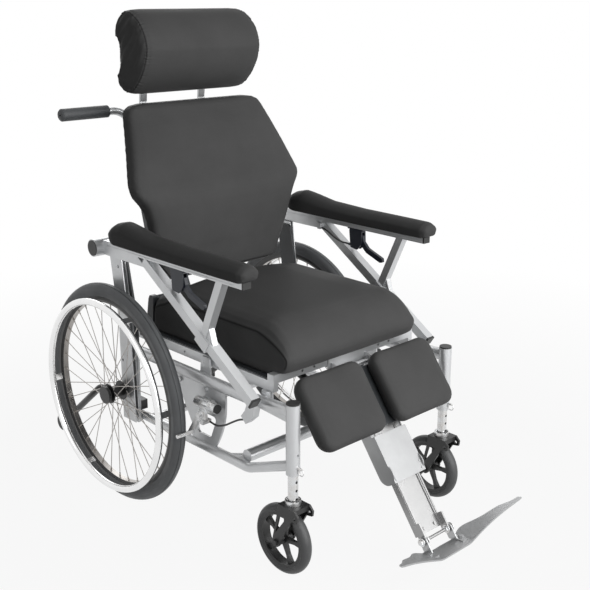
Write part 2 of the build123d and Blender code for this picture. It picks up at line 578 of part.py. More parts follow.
def arm_frame():
    """Boss, grooved beam, diagonal strut and front strut of one armrest."""
    x0 = ARM_X - ARM_W / 2
    x1 = ARM_X + ARM_W / 2
    beam_low = BEAM_TOP_Z - BEAM_H
    beam = box(x0, x1, BEAM_FRONT_Y, BEAM_REAR_Y, beam_low, BEAM_TOP_Z)
    deep = side_plate([(AXLE_Y - 118, beam_low), (BEAM_REAR_Y, beam_low), (BEAM_REAR_Y, BEAM_TOP_Z - DEEP_BEAM_H),
                       (AXLE_Y - 150, BEAM_TOP_Z - DEEP_BEAM_H)], x0, x1)
    diagonal = square_bar(DIAG_TOP, DIAG_LOW, x0 - 0.5, x1 + 0.5, STRUT)
    front = square_bar(FRONT_TOP, KNEE, x0 + 1, x1 - 1, STRUT - 3)
    sleeve_a = (KNEE[0] + 16, KNEE[1] + 8)
    sleeve_b = (KNEE[0] - 22, KNEE[1] - 18)
    sleeve = square_bar(sleeve_a, sleeve_b, x0 - 2.5, x1 + 2.5, STRUT + 6)
    gusset = side_plate([(KNEE[0] - 22, KNEE[1] + 46), (KNEE[0] - 40, KNEE[1] - 8), (KNEE[0] - 4, KNEE[1] + 10)],
                        x0 + 4, x1 - 4)
    boss = rod((BOSS_IN_X, BOSS_Y, BOSS_Z), (BOSS_OUT_X, BOSS_Y, BOSS_Z), BOSS_R)
    clip = box(x0 - 13, x0 + 1, AXLE_Y - 150, AXLE_Y - 138, BEAM_TOP_Z - DEEP_BEAM_H + 1, BEAM_TOP_Z - 20)
    frame = beam.fuse(deep, diagonal, front, sleeve, gusset, boss, clip, ferrule(LEVER_CABLE[-1], LEVER_CABLE[-2]))
    groove = box(x1 - 1.5, x1 + 1, BEAM_FRONT_Y + 30, BEAM_REAR_Y - 20, beam_low + 4.5, beam_low + 7)
    inner_groove = box(x0 - 1, x0 + 1.5, BEAM_FRONT_Y + 30, BEAM_REAR_Y - 20, beam_low + 4.5, beam_low + 7)
    bore = rod((BOSS_OUT_X - 6, BOSS_Y, BOSS_Z), (BOSS_OUT_X + 1, BOSS_Y, BOSS_Z), BOSS_R - 2.5)
    return frame - groove - inner_groove - bore


def tube_plugs():
    """Black plugs in the boss, the beam's end, the strut's end and the caster housing."""
    plugs = []
    x0 = ARM_X - ARM_W / 2
    x1 = ARM_X + ARM_W / 2
    beam_low = BEAM_TOP_Z - BEAM_H
    run = Vector(0, DIAG_LOW[0] - DIAG_TOP[0], DIAG_LOW[1] - DIAG_TOP[1]).normalized()
    for side in (-1, 1):
        boss = across(side * (BOSS_OUT_X - 6), side * (BOSS_OUT_X + 1.5), BOSS_Y, BOSS_Z, BOSS_R - 2.6)
        beam = box(side * x0, side * x1, BEAM_FRONT_Y - 5, BEAM_FRONT_Y, beam_low, BEAM_TOP_Z)
        end = (DIAG_LOW[0] + run.Y * 6, DIAG_LOW[1] + run.Z * 6)
        strut = square_bar(DIAG_LOW, end, side * (x0 - 0.5), side * (x1 + 0.5), STRUT)
        top = rod((side * CASTER_X, CASTER_AXIS_Y, HOUSING_TOP_Z),
                  (side * CASTER_X, CASTER_AXIS_Y, HOUSING_TOP_Z + 4),
                  HOUSING_R - 1)
        stub = rod((side * STUB_X, STUB_FRONT_Y, STUB_Z), (side * STUB_X, STUB_FRONT_Y - 2.5, STUB_Z), STUB_R - 1)
        plugs += [boss, beam, strut, top, stub]
    return Compound(children=plugs)


def arm_pad():
    """Long pad, raised at the rear, crowned across."""
    stations = [
        (AXLE_Y - 2, 734, 756, 22), (AXLE_Y - 9, 725, 770, 30), (AXLE_Y - 30, PAD_Z, 781, 35),
        (AXLE_Y - 66, PAD_Z, 789, 36), (AXLE_Y - 108, PAD_Z, 783, 36), (AXLE_Y - 175, PAD_Z, 771, 36),
        (AXLE_Y - 300, PAD_Z, 766, 36), (AXLE_Y - 470, PAD_Z, 766, 36), (AXLE_Y - 528, PAD_Z, 766, 34),
        (AXLE_Y - 542, 726, 760, 29), (AXLE_Y - 548, 735, 751, 22)]
    faces = []
    for y, low, high, half in stations:
        place = Plane(origin=(ARM_X, y, 0), x_dir=(1, 0, 0), z_dir=(0, -1, 0))
        rise = high - low
        side_z = low + rise * 0.55
        points = [(-half, side_z), (-half + 3, low + 5), (-half + 9, low), (half - 9, low), (half - 3, low + 5),
                  (half, side_z)]
        crown = ThreePointArc((half, side_z), (0, high), (-half, side_z))
        faces.append(place * make_face(Polyline(*points) + crown))
    return loft(faces, ruled=True)


# ---- release levers, brakes, cables -----------------------------------------------------
LEVER_Y = AXLE_Y - 292.0
LEVER_Z = 678.0


def lever_bracket():
    x0 = ARM_X - 9
    x1 = ARM_X + 9
    top = BEAM_TOP_Z - BEAM_H
    body = rounded_plate([(AXLE_Y - 252, top - 4), (AXLE_Y - 300, top - 4), (AXLE_Y - 302, LEVER_Z - 14),
                          (AXLE_Y - 284, LEVER_Z - 34), (AXLE_Y - 258, LEVER_Z - 30)], 5, x0, x1)
    cap = box(x0 - 2, x1 + 2, AXLE_Y - 306, AXLE_Y - 248, top - 4, top)
    slot = box(x0 + 4, x1 - 4, AXLE_Y - 312, AXLE_Y - 276, LEVER_Z - 40, LEVER_Z + 18)
    pin = rod((x0 + 1, LEVER_Y, LEVER_Z), (x1 - 1, LEVER_Y, LEVER_Z), 2.5)
    return ((body + cap) - slot).fuse(pin, ferrule(LEVER_CABLE[0], LEVER_CABLE[1]))


def release_lever():
    x0 = ARM_X - 4.6
    x1 = ARM_X + 4.6
    blade = rounded_plate([(LEVER_Y + 9, LEVER_Z + 8), (LEVER_Y - 9, LEVER_Z + 10), (LEVER_Y - 14, LEVER_Z - 8),
                           (LEVER_Y - 30, LEVER_Z - 24), (LEVER_Y - 84, LEVER_Z - 44), (LEVER_Y - 86, LEVER_Z - 55),
                           (LEVER_Y - 76, LEVER_Z - 57), (LEVER_Y - 24, LEVER_Z - 38), (LEVER_Y + 4, LEVER_Z - 14)],
                          3.5, x0, x1)
    return blade - rod((x0 - 5, LEVER_Y, LEVER_Z), (x1 + 5, LEVER_Y, LEVER_Z), 2.5 + RUNNING_FIT)


STUB_X = 297.0
STUB_Z = 361.0
STUB_R = 13.0
STUB_REAR_Y = AXLE_Y - 306.0
STUB_FRONT_Y = AXLE_Y - 385.0
BRAKE_Y = AXLE_Y - 346.0
BRAKE_Z = 343.0
SHOE_R = 5.0


def brake_mount():
    """Stub tube off the curved plate, clamp ring and the arm that carries the brake's pin."""
    stub = pipe((STUB_X, STUB_REAR_Y, STUB_Z), (STUB_X, STUB_FRONT_Y, STUB_Z), STUB_R, TUBE_WALL)
    bridge = box(RAIL_X + SIDE_PLATE_T / 2, STUB_X - 8, STUB_REAR_Y - 30, STUB_REAR_Y - 8, STUB_Z - 9, STUB_Z + 9)
    bridge -= rod((STUB_X, STUB_REAR_Y, STUB_Z), (STUB_X, STUB_FRONT_Y, STUB_Z), STUB_R - 1)
    ring = rod((STUB_X, BRAKE_Y + 4, STUB_Z), (STUB_X, BRAKE_Y - 20, STUB_Z), STUB_R + 4)
    ring -= rod((STUB_X, BRAKE_Y + 5, STUB_Z), (STUB_X, BRAKE_Y - 21, STUB_Z), STUB_R)
    arm = box(STUB_X + STUB_R + 2, STUB_X + 22, BRAKE_Y - 20, BRAKE_Y + 4, BRAKE_Z - 12, STUB_Z + 6)
    arm += box(STUB_X - 6, STUB_X + 22, BRAKE_Y - 8, BRAKE_Y + 4, 314, 323)
    arm += box(STUB_X + 14, STUB_X + 22, BRAKE_Y - 8, BRAKE_Y + 4, 314, BRAKE_Z)
    pin = rod((STUB_X + 22, BRAKE_Y - 4, BRAKE_Z), (STUB_X + 35, BRAKE_Y - 4, BRAKE_Z), 4)
    head = rod((STUB_X + 32, BRAKE_Y - 4, BRAKE_Z), (STUB_X + 35, BRAKE_Y - 4, BRAKE_Z), 7)
    return stub.fuse(bridge, ring, arm, pin, head, ferrule(BRAKE_CABLE[0], BRAKE_CABLE[1]))


def brake_shoe():
    """Arm on the brake's pin with the round shoe bar across the tyre."""
    x0 = STUB_X + 22 + TUBE_CLEAR
    x1 = STUB_X + 32 - TUBE_CLEAR
    pivot = (BRAKE_Y - 4, BRAKE_Z)
    reach = WHEEL_R + SHOE_R + 1.0
    shoe_z = WHEEL_R - 22
    shoe_y = AXLE_Y - sqrt(reach**2 - 22**2)
    arm = square_bar((pivot[0], pivot[1]), (shoe_y, shoe_z), x0, x1, 13)
    arm += rod((x0, *pivot), (x1, *pivot), 9)
    arm += rod((x0, shoe_y, shoe_z), (x1, shoe_y, shoe_z), 6.5)
    arm += rod((x1 - 2, shoe_y, shoe_z), (WHEEL_X + 24, shoe_y, shoe_z), SHOE_R)
    return arm - rod((x0 - 2, *pivot), (x1 + 2, *pivot), 4 + RUNNING_FIT)


CABLE_R = 2.5
LEVER_CABLE = [
    (ARM_X - 7, AXLE_Y - 249, 656), (ARM_X - 17.5, AXLE_Y - 229, 660), (ARM_X - 21, AXLE_Y - 204, 670),
    (ARM_X - 21.5, AXLE_Y - 178, 684), (ARM_X - 21, AXLE_Y - 154, 690)]
BRAKE_CABLE = [
    (STUB_X, AXLE_Y - 356, 318), (STUB_X - 1, AXLE_Y - 382, 314), (STUB_X - 3, AXLE_Y - 412, 325),
    (STUB_X - 4, AXLE_Y - 440, 343), (STUB_X - 3, AXLE_Y - 466, 358), (STUB_X - 2, AXLE_Y - 488, 366)]
FERRULE_R = 3.6
FERRULE_L = 12.0


def ferrule(end, inner):
    """Metal end cap on a cable, in line with the cable's last run."""
    along = (Vector(end) - Vector(inner)).normalized()
    return rod(end, tuple(Vector(end) + along * FERRULE_L), FERRULE_R)


def cable(points):
    radii = []
    for before, here, after in zip(points, points[1:], points[2:]):
        a = Vector(here) - Vector(before)
        b = Vector(after) - Vector(here)
        turn = radians(a.get_angle(b))
        radii.append(0.45 * min(a.length, b.length) / tan(turn / 2))
    print("cable bends", [round(radius) for radius in radii])
    return bent_tube(points, radii, CABLE_R)


def bowden_cables():
    solids = []
    for points in (LEVER_CABLE, BRAKE_CABLE):
        one = cable(points)
        solids += [one, mirror(one, about=Plane.YZ)]
    return Compound(children=solids)


# ---- anti-tip supports -------------------------------------------------------------------
TIP_X = 280.0
TIP_R = 9.5
TIP_WHEEL_R = 26.0
TIP_WHEEL_W = 20.0
TIP_WHEEL_Y = AXLE_Y + 404.0
TIP_WHEEL_Z = 66.0


def antitip_tubes():
    tubes = []
    for side in (-1, 1):
        x = side * TIP_X
        path = [(x, AXLE_Y + 20, 262), (x, AXLE_Y + 178, 250), (x, TIP_WHEEL_Y - 26, TIP_WHEEL_Z + 20)]
        tube = bent_tube(path, 45, TIP_R, TUBE_WALL)
        socket = box(x - side * 12, side * (RAIL_X + RAIL_R), AXLE_Y - 42, AXLE_Y + 24, 249, 276)
        block = box(x - TIP_WHEEL_W / 2 - 4, x + TIP_WHEEL_W / 2 + 4, TIP_WHEEL_Y - 40, TIP_WHEEL_Y - 30,
                    TIP_WHEEL_Z + 8, TIP_WHEEL_Z + 32)
        ears = []
        for way in (-1, 1):
            inner = x + way * (TIP_WHEEL_W / 2 + 1)
            outer = x + way * (TIP_WHEEL_W / 2 + 4)
            ear = rounded_plate([(TIP_WHEEL_Y - 40, TIP_WHEEL_Z + 30), (TIP_WHEEL_Y - 40, TIP_WHEEL_Z + 8),
                                  (TIP_WHEEL_Y - 2, TIP_WHEEL_Z - 9), (TIP_WHEEL_Y + 10, TIP_WHEEL_Z + 4)],
                                 5, inner, outer)
            ears.append(ear)
        pin = across(x - TIP_WHEEL_W / 2 - 6, x + TIP_WHEEL_W / 2 + 6, TIP_WHEEL_Y, TIP_WHEEL_Z, 3.5)
        tubes.append(tube.fuse(socket, block, *ears, pin))
    return Compound(children=tubes)


def antitip_wheel():
    start = (TIP_X - TIP_WHEEL_W / 2, TIP_WHEEL_Y, TIP_WHEEL_Z)
    end = (TIP_X + TIP_WHEEL_W / 2, TIP_WHEEL_Y, TIP_WHEEL_Z)
    wheel = rod(start, end, TIP_WHEEL_R)
    wheel = fillet(wheel.edges().filter_by(GeomType.CIRCLE), 4)
    return wheel - across(TIP_X - 20, TIP_X + 20, TIP_WHEEL_Y, TIP_WHEEL_Z, 3.5 + RUNNING_FIT)


# ---- seat ------------------------------------------------------------------------------------
def seat_frame():
    x0 = SEAT_RAIL_X
    x1 = SEAT_RAIL_X + SEAT_RAIL_W
    z0 = SEAT_RAIL_Z
    z1 = SEAT_RAIL_Z + SEAT_RAIL_H
    front_in = SEAT_FRONT_Y + FRONT_RAIL_T
    pieces = []
    for side in (-1, 1):
        rail = box(side * x0, side * x1, front_in - 6, SEAT_REAR_Y + 52, z0, z1)
        hollow = box(side * (x0 + SEAT_WALL), side * (x1 - SEAT_WALL), front_in + 20, SEAT_REAR_Y - 30,
                     z0 - 1, z1 - SEAT_WALL)
        rail -= hollow
        for y in (AXLE_Y - 406, AXLE_Y - 200):
            rail -= rod((side * (x0 - 1), y, z0 + 12), (side * (x1 + 1), y, z0 + 12), RAIL_HOLE_R)
        rail += box(side * x0, side * x1, TILT_Y - 14, TILT_Y + 14, z0, z1)
        pieces.append(rail)
    front = box(-x1, x1, SEAT_FRONT_Y, front_in, FRONT_RAIL_Z, FRONT_RAIL_Z + FRONT_RAIL_H)
    front += box(-x1, -x0, SEAT_FRONT_Y, front_in, z0, FRONT_RAIL_Z)
    front += box(x0, x1, SEAT_FRONT_Y, front_in, z0, FRONT_RAIL_Z)
    front -= box(-x0 + 6, x0 - 6, SEAT_FRONT_Y + SEAT_WALL, front_in + 1, FRONT_RAIL_Z + SEAT_WALL,
                 FRONT_RAIL_Z + FRONT_RAIL_H - SEAT_WALL)
    for x in ACCESSORY_HOLES:
        for side in (-1, 1):
            front -= rod((side * x, SEAT_FRONT_Y - 1, FRONT_RAIL_Z + 10),
                         (side * x, SEAT_FRONT_Y + 5, FRONT_RAIL_Z + 10),
                         RAIL_HOLE_R)
    rear = box(-x0, x0, SEAT_REAR_Y - 24, SEAT_REAR_Y, z0, z1)
    middle = box(-x0, x0, RECLINE_SPRING_FRONT_Y - 11, RECLINE_SPRING_FRONT_Y + 11, z0 + 4, z1)
    ears = []
    for x, y, z in ((TILT_SPRING_X, TILT_SPRING_TOP_Y, TILT_SPRING_TOP_Z),
                    (RECLINE_SPRING_X, RECLINE_SPRING_FRONT_Y, RECLINE_SPRING_FRONT_Z)):
        carrier = SEAT_REAR_Y - 24 if x > 0 else y + 8
        for way in (-1, 1):
            inner = x + way * (SPRING_EYE_W / 2 + 1.0)
            outer = x + way * (SPRING_EYE_W / 2 + 5.0)
            ears.append(side_plate([(y - 9, z - 8), (y - 9, z + 8), (carrier - 2, z1 - 1), (carrier + 4, z1 - 1),
                                    (carrier + 4, z0 + 5), (y + 8, z - 8)], inner, outer))
        ears.append(rod((x - SPRING_EYE_W / 2 - 6, y, z), (x + SPRING_EYE_W / 2 + 6, y, z), SPRING_PIN_R))
    frame = front.fuse(*pieces, rear, middle, *ears)
    for side in (-1, 1):
        frame = frame.fuse(across(side * (x1 - 2), side * (RAIL_X - RAIL_R + 2), TILT_Y, TILT_Z, PIN_R))
        frame -= rod((side * (x0 - 1), RECLINE_Y, TILT_Z), (side * (x1 + 1), RECLINE_Y, TILT_Z), PIN_R + RUNNING_FIT)
    return frame


ACCESSORY_HOLES = [117.0, 157.0]


def seat_pan():
    z = SEAT_RAIL_Z + SEAT_RAIL_H
    return box(-SEAT_RAIL_X - 9, SEAT_RAIL_X + 9, SEAT_FRONT_Y + FRONT_RAIL_T + 2, SEAT_REAR_Y, z, z + PAN_T)


def seat_cushion():
    """Crowned pad with a waterfall front that laps the front rail and a drawn-in side under its seam."""
    stations = [(CUSHION_X, 40, 13), (CUSHION_X - 2, 30, 8), (CUSHION_X - 8, 16, 4), (CUSHION_X - 22, 6, 1),
                (CUSHION_X - 48, 2, 0), (110, 0, 0)]
    lip = FRONT_RAIL_Z + FRONT_RAIL_H + 0.6
    faces = []
    for x, drop, inset in [(-x, drop, inset) for x, drop, inset in stations] + stations[::-1]:
        top = CUSHION_Z + CUSHION_H - drop
        front = CUSHION_FRONT_Y + inset
        rear = CUSHION_REAR_Y - inset
        low = CUSHION_Z
        step = SEAT_FRONT_Y + FRONT_RAIL_T
        outline = Polyline((front + 18, lip), (step + 1.5, lip), (step + 6, low), (rear - 8, low), (rear, low + 14),
                           (rear, top - 52), (rear - 6, top - 36), (rear - 24, top - 27), (rear - 48, top - 19))
        outline += ThreePointArc((rear - 48, top - 19), (rear - 74, top - 6), (rear - 112, top))
        outline += Line((rear - 112, top), (front + 108, top - 1))
        outline += ThreePointArc((front + 108, top - 1), (front + 32, top - 28), (front, lip + 40))
        outline += ThreePointArc((front, lip + 40), (front + 4, lip + 15), (front + 18, lip))
        faces.append(side_plane(x) * make_face(outline))
    return loft(faces, ruled=True)


# ---- back ------------------------------------------------------------------------------------
# up the lean, half the width there, and how far its rear face stands in front of the canes
BACK_SHAPE = [
    (0, 198, 25), (10, 206, 28), (30, 213, 34), (66, 226, 46), (100, 237, 59), (134, 246, 72),
    (161, 252, 82), (193, 264, 91), (212, 277, 93), (228, 288, 91), (242, 291, 88), (259, 289, 83),
    (276, 285, 79), (341, 267, 67), (407, 249, 53), (446, 238, 43), (464, 229, 39)]
BACK_TOP = [(474, 213, 37), (479, 188, 36)]
BACK_LOW = (-5, 178, 23)
BACK = leaning_plane(BACK_Y, BACK_Z - 8, BACK_LEAN)


def across_back(up, points):
    """Face across the back at one height; points are (x, out to the front)."""
    place = Plane(origin=BACK.from_local_coords((0, up, 0)), x_dir=(1, 0, 0), z_dir=BACK.y_dir)
    return place * make_face(Polyline(*[(x, -out) for x, out in points], close=True))


def back_cushion():
    """Pad that stands forward at the shoulders and draws in to a waist; all its edges are rolled."""
    rows = [(*BACK_LOW, 9)] + [(up, half, rear, 0) for up, half, rear in BACK_SHAPE]
    rows += [(*BACK_TOP[0], 5), (*BACK_TOP[1], 13)]
    faces = []
    for up, half, rear, thin in rows:
        low = rear + 0.3 + thin
        high = rear + BACK_T - thin
        middle = (low + high) / 2
        edge = [(half - 14, low), (half - 4, low + 5), (half, middle), (half - 3, high - 12), (half - 12, high - 5),
                (half - 34, high - 1)]
        front = [(half * 0.45, high + 1), (-half * 0.45, high + 1)]
        faces.append(across_back(up, edge + front + [(-x, out) for x, out in reversed(edge)]))
    return loft(faces, ruled=True)


def back_shell():
    """Thin shell behind the back cushion, bent to the same curve."""
    faces = []
    for up, half, rear in BACK_SHAPE:
        edge = half - 18
        faces.append(across_back(up, [(-edge, rear), (-edge, rear - SHELL_T), (edge, rear - SHELL_T), (edge, rear)]))
    return loft(faces, ruled=True)


def back_frame():
    """Canes, ribs up to the shell, cross bars, and the arms that hinge it on the seat."""
    pieces = []
    back = -SHELL_T
    ribs = [(row[0], row[2]) for row in BACK_SHAPE if 60 < row[0] < 450]
    for side in (-1, 1):
        x = side * CANE_X
        cane = Pos(x, 252, back - CANE_D / 2) * Box(CANE_W, 420, CANE_D)
        pieces.append(BACK * cane)
        edge = [on_back(0, up, SHELL_T + 0.1 - rear)[1:] for up, rear in ribs]
        root = [on_back(0, up, SHELL_T + 2)[1:] for up in (ribs[-1][0], ribs[0][0])]
        pieces.append(side_plate(edge + root, x - RIB_T / 2, x + RIB_T / 2))
        bx0 = side * (HINGE_X - CANE_W / 2)
        bx1 = side * (HINGE_X + CANE_W / 2 - 9)
        foot_y = RECLINE_Y
        foot_z = TILT_Z
        hinge = rounded_plate([(foot_y - 17, foot_z - 16), (foot_y + 18, foot_z - 16), (YOKE_Y + 12, YOKE_Z),
                               (YOKE_Y + 6, YOKE_Z + 11), (YOKE_Y - 11, YOKE_Z + 11)], 5, bx0, bx1)
        pieces.append(hinge)
        pieces.append(across(bx0, side * (SEAT_RAIL_X + SEAT_RAIL_W - 1), RECLINE_Y, TILT_Z, PIN_R))
        neck = side_plate([(YOKE_Y - 7, YOKE_Z), (YOKE_Y + 7, YOKE_Z - 4), on_back(0, 84, SHELL_T + CANE_D - 4)[1:],
                           on_back(0, 100, SHELL_T + CANE_D - 4)[1:], on_back(0, 100, SHELL_T + 4)[1:],
                           on_back(0, 78, SHELL_T + 4)[1:]], side * (YOKE_X - 7), side * (YOKE_X + 7))
        pieces.append(neck)
    pieces.append(rod((-HINGE_X - 2, YOKE_Y, YOKE_Z), (HINGE_X + 2, YOKE_Y, YOKE_Z), 8))
    for up in (90, *CLAMP_UPS, GUIDE_UP):
        bar = Pos(0, up, back - CANE_D / 2) * Box(2 * CANE_X, 24, 16)
        pieces.append(BACK * bar)
    bars_out = SHELL_T + CANE_D + TUBE_CLEAR
    for up in (CLAMP_UPS[1], GUIDE_UP):
        for side in (-1, 1):
            guide = Pos(side * HEAD_BAR_X, up, -(bars_out + 1)) * Box(HEAD_BAR_W + 8, 20, 22)
            slot = Pos(side * HEAD_BAR_X, up, -(bars_out + HEAD_BAR_T / 2)) * Box(
                HEAD_BAR_W + 2 * TUBE_CLEAR, 30, HEAD_BAR_T + 2 * TUBE_CLEAR)
            pieces.append(BACK * (guide - slot))
    for side in (-1, 1):
        top, foot = handle_line(side)
        for up in CLAMP_UPS:
            z = on_back(0, up, 0)[2]
            share = (top[2] - z) / (top[2] - foot[2])
            y = top[1] + (foot[1] - top[1]) * share
            clamp = box(side * (HANDLE_X - 15), side * (HANDLE_X + 15), on_back(0, up, 22)[1], y + 15, z - 9, z + 9)
            pieces.append(clamp - rod(foot, top, HANDLE_R + RUNNING_FIT))
    arm_x = RECLINE_SPRING_X
    lower_bar = rod((-HINGE_X + 8, RECLINE_Y + 6, TILT_Z + 36), (HINGE_X - 8, RECLINE_Y + 6, TILT_Z + 36), 9)
    pieces.append(lower_bar)
    for way in (-1, 1):
        inner = arm_x + way * (SPRING_EYE_W / 2 + 1.0)
        outer = arm_x + way * (SPRING_EYE_W / 2 + 5.0)
        pieces.append(side_plate([(RECLINE_Y - 3, TILT_Z + 36), (RECLINE_Y + 14, TILT_Z + 36),
                                  (RECLINE_ARM_Y + 10, RECLINE_ARM_Z - 9), (RECLINE_ARM_Y - 9, RECLINE_ARM_Z - 9)],
                                 inner, outer))
    pieces.append(across(arm_x - 11, arm_x + 11, RECLINE_ARM_Y, RECLINE_ARM_Z, SPRING_PIN_R))
    return pieces[0].fuse(*pieces[1:])


def on_back(x, up, out):
    """Point on the back, up the lean from BACK_Z and out behind the cushion."""
    lean = radians(BACK_LEAN)
    y = BACK_Y + up * sin(lean) + out * cos(lean)
    z = BACK_Z - 8 + up * cos(lean) - out * sin(lean)
    return (x, y, z)


CLAMP_UPS = (290, 352)    # up the back, where the handle clamps sit
GUIDE_UP = 420
RIB_T = 5.0
YOKE_Y = AXLE_Y - 18.0    # tube across the back's lower end
YOKE_Z = 549.0
YOKE_X = 96.0             # necks from that tube up to the lowest bar


def handle_line(side):
    """Upper and lower point of the handle's straight stem, the line that it swivels about."""
    y = AXLE_Y + 168
    return (side * HANDLE_X, y, GRIP_Z), (side * HANDLE_X, y - 48, GRIP_Z - 190)


def push_handle():
    top, foot = handle_line(1)
    path = [(GRIP_IN_X + GRIP_L - 5, top[1], GRIP_Z), top, foot]
    tube = bent_tube(path, HANDLE_BEND_R, HANDLE_R, TUBE_WALL)
    stop = Plane(origin=foot, z_dir=Vector(top) - Vector(foot))
    stop_ring = stop * (Pos(0, 0, 3) * Cylinder(HANDLE_R + 3, 6))
    return tube.fuse(stop_ring - rod(foot, top, HANDLE_R - 1))


def handle_grip():
    """Grip with shallow rings and a small hole in its end."""
    y = AXLE_Y + 168
    profile = [(GRIP_IN_X, HANDLE_R), (GRIP_IN_X, GRIP_R + 1), (GRIP_IN_X + 4, GRIP_R + 1.5),
               (GRIP_IN_X + 6, GRIP_R - 1)]
    for ring in range(GRIP_RINGS):
        start = GRIP_IN_X + 10 + ring * GRIP_RING_STEP
        profile += [(start, GRIP_R - 1), (start + 1, GRIP_R), (start + GRIP_RING_STEP - 3, GRIP_R),
                    (start + GRIP_RING_STEP - 2, GRIP_R - 1)]
    end = GRIP_IN_X + GRIP_L
    profile += [(end - 4, GRIP_R - 1), (end, GRIP_R - 4), (end, 3), (end - 5, 3), (end - 5, HANDLE_R)]
    place = Plane(origin=(0, y, GRIP_Z), x_dir=(1, 0, 0), z_dir=(0, -1, 0))
    return revolve(place * make_face(Polyline(*profile, close=True)), axis=Axis((0, y, GRIP_Z), (1, 0, 0)))


HEAD_Z = 1200.0
HEAD_REAR_Y = AXLE_Y + 149.0
HEAD_X = 203.0
HEAD_AHEAD = 22.0         # the cushion stands this far in front of its bars


def headrest_bars():
    """Two flat bars that slide behind the canes and rise straight behind the headrest."""
    out = SHELL_T + CANE_D + TUBE_CLEAR
    front = [on_back(0, 190, out)[1:], on_back(0, 492, out)[1:]]
    front += [(HEAD_REAR_Y, 1096), (HEAD_REAR_Y, HEAD_Z + 84)]
    rear = [(HEAD_REAR_Y + HEAD_BAR_T, HEAD_Z + 84), (HEAD_REAR_Y + HEAD_BAR_T, 1097)]
    rear += [on_back(0, 493, out + HEAD_BAR_T)[1:], on_back(0, 190, out + HEAD_BAR_T)[1:]]
    pieces = []
    for side in (-1, 1):
        x = side * HEAD_BAR_X
        pieces.append(side_plate(front + rear, x - HEAD_BAR_W / 2, x + HEAD_BAR_W / 2))
    tie = Pos(0, 204, -out - HEAD_BAR_T - 3) * Box(2 * HEAD_BAR_X + HEAD_BAR_W, 26, 6)
    pieces.append(BACK * tie)
    for low, high in ((HEAD_Z - 88, HEAD_Z - 52), (HEAD_Z + 30, HEAD_Z + 66)):
        for side in (-1, 1):
            x = side * HEAD_BAR_X
            pieces.append(box(x - 16, x + 16, HEAD_REAR_Y - HEAD_AHEAD, HEAD_REAR_Y + 1, low, high))
    pieces.append(box(-HEAD_BAR_X, HEAD_BAR_X, HEAD_REAR_Y, HEAD_REAR_Y + HEAD_BAR_T, HEAD_Z + 40, HEAD_Z + 64))
    return pieces[0].fuse(*pieces[1:])


def headrest_cushion():
    """Bolster with a rolled front, narrower at mid-height; its ends are drawn in at the seams."""
    stations = [(HEAD_X + 2, 34), (HEAD_X, 22), (HEAD_X - 8, 9), (HEAD_X - 22, 2), (HEAD_X - 50, 0)]
    faces = []
    for x, shrink in [(-x, shrink) for x, shrink in stations] + stations[::-1]:
        rear = HEAD_REAR_Y - HEAD_AHEAD - 0.3
        top = HEAD_Z + 112 - shrink
        low = HEAD_Z - 112 + shrink
        front = AXLE_Y - 12 + shrink
        pinch = rear - 0.4 - shrink * 0.8
        outline = ThreePointArc((rear, low + 16), (pinch, HEAD_Z - 8), (rear, top - 34))
        outline += ThreePointArc((rear, top - 34), (rear - 14, top - 10), (rear - 48, top))
        outline += ThreePointArc((rear - 48, top), (rear - 103, top - 31), (front, HEAD_Z + 8))
        outline += ThreePointArc((front, HEAD_Z + 8), (front + 24 - shrink * 0.2, HEAD_Z - 50), (rear - 58, low + 3))
        outline += ThreePointArc((rear - 58, low + 3), (rear - 22, low), (rear, low + 16))
        faces.append(side_plane(x) * make_face(outline))
    return loft(faces, ruled=True)


# ---- leg rest ----------------------------------------------------------------------------------
LEG = leaning_plane(LEG_Y, LEG_Z, LEG_LEAN)


def leg_box(x0, x1, down0, down1, out0, out1):
    """A box in the leg's own frame: across, down from its upper end, out of its front face."""
    size = (abs(x1 - x0), abs(down1 - down0), abs(out1 - out0))
    return LEG * (Pos((x0 + x1) / 2, -(down0 + down1) / 2, (out0 + out1) / 2) * Box(*size))


def leg_rod(x0, x1, down, out, radius):
    """A rod along X in the leg's own frame."""
    place = Plane(origin=(min(x0, x1), -down, out), x_dir=(0, 1, 0), z_dir=(1, 0, 0))
    return LEG * (place * Cylinder(radius, abs(x1 - x0), align=(Align.CENTER, Align.CENTER, Align.MIN)))


def leg_point(down, out):
    lean = radians(LEG_LEAN)
    y = LEG_Y - down * sin(lean) - out * cos(lean)
    z = LEG_Z - down * cos(lean) + out * sin(lean)
    return (y, z)


def leg_hanger():
    """Clamp on the seat's front rail with two cheeks that carry the leg rest's pin."""
    top = FRONT_RAIL_Z + FRONT_RAIL_H
    pin_y, pin_z = leg_point(0, -LEG_PIN_BACK)
    pieces = [box(-72, 72, SEAT_FRONT_Y - 4, SEAT_FRONT_Y, FRONT_RAIL_Z - 18, top)]
    pieces.append(box(-72, 72, SEAT_FRONT_Y - 4, SEAT_FRONT_Y + FRONT_RAIL_T, FRONT_RAIL_Z - 5, FRONT_RAIL_Z))
    for side in (-1, 1):
        inner = side * (CHANNEL_X + 1.0)
        outer = side * (CHANNEL_X + 6.0)
        cheek = rounded_plate([(SEAT_FRONT_Y - 2, FRONT_RAIL_Z + 8), (pin_y - CHEEK_IN, pin_z + CHEEK_IN),
                               (pin_y - 12, pin_z - 12), (pin_y + 10, pin_z - 14),
                               (SEAT_FRONT_Y - 2, FRONT_RAIL_Z - 18)], 3, inner, outer)
        pieces.append(cheek)
    pieces.append(rod((-CHANNEL_X - 10, pin_y, pin_z), (CHANNEL_X + 10, pin_y, pin_z), PIN_R))
    return pieces[0].fuse(*pieces[1:])


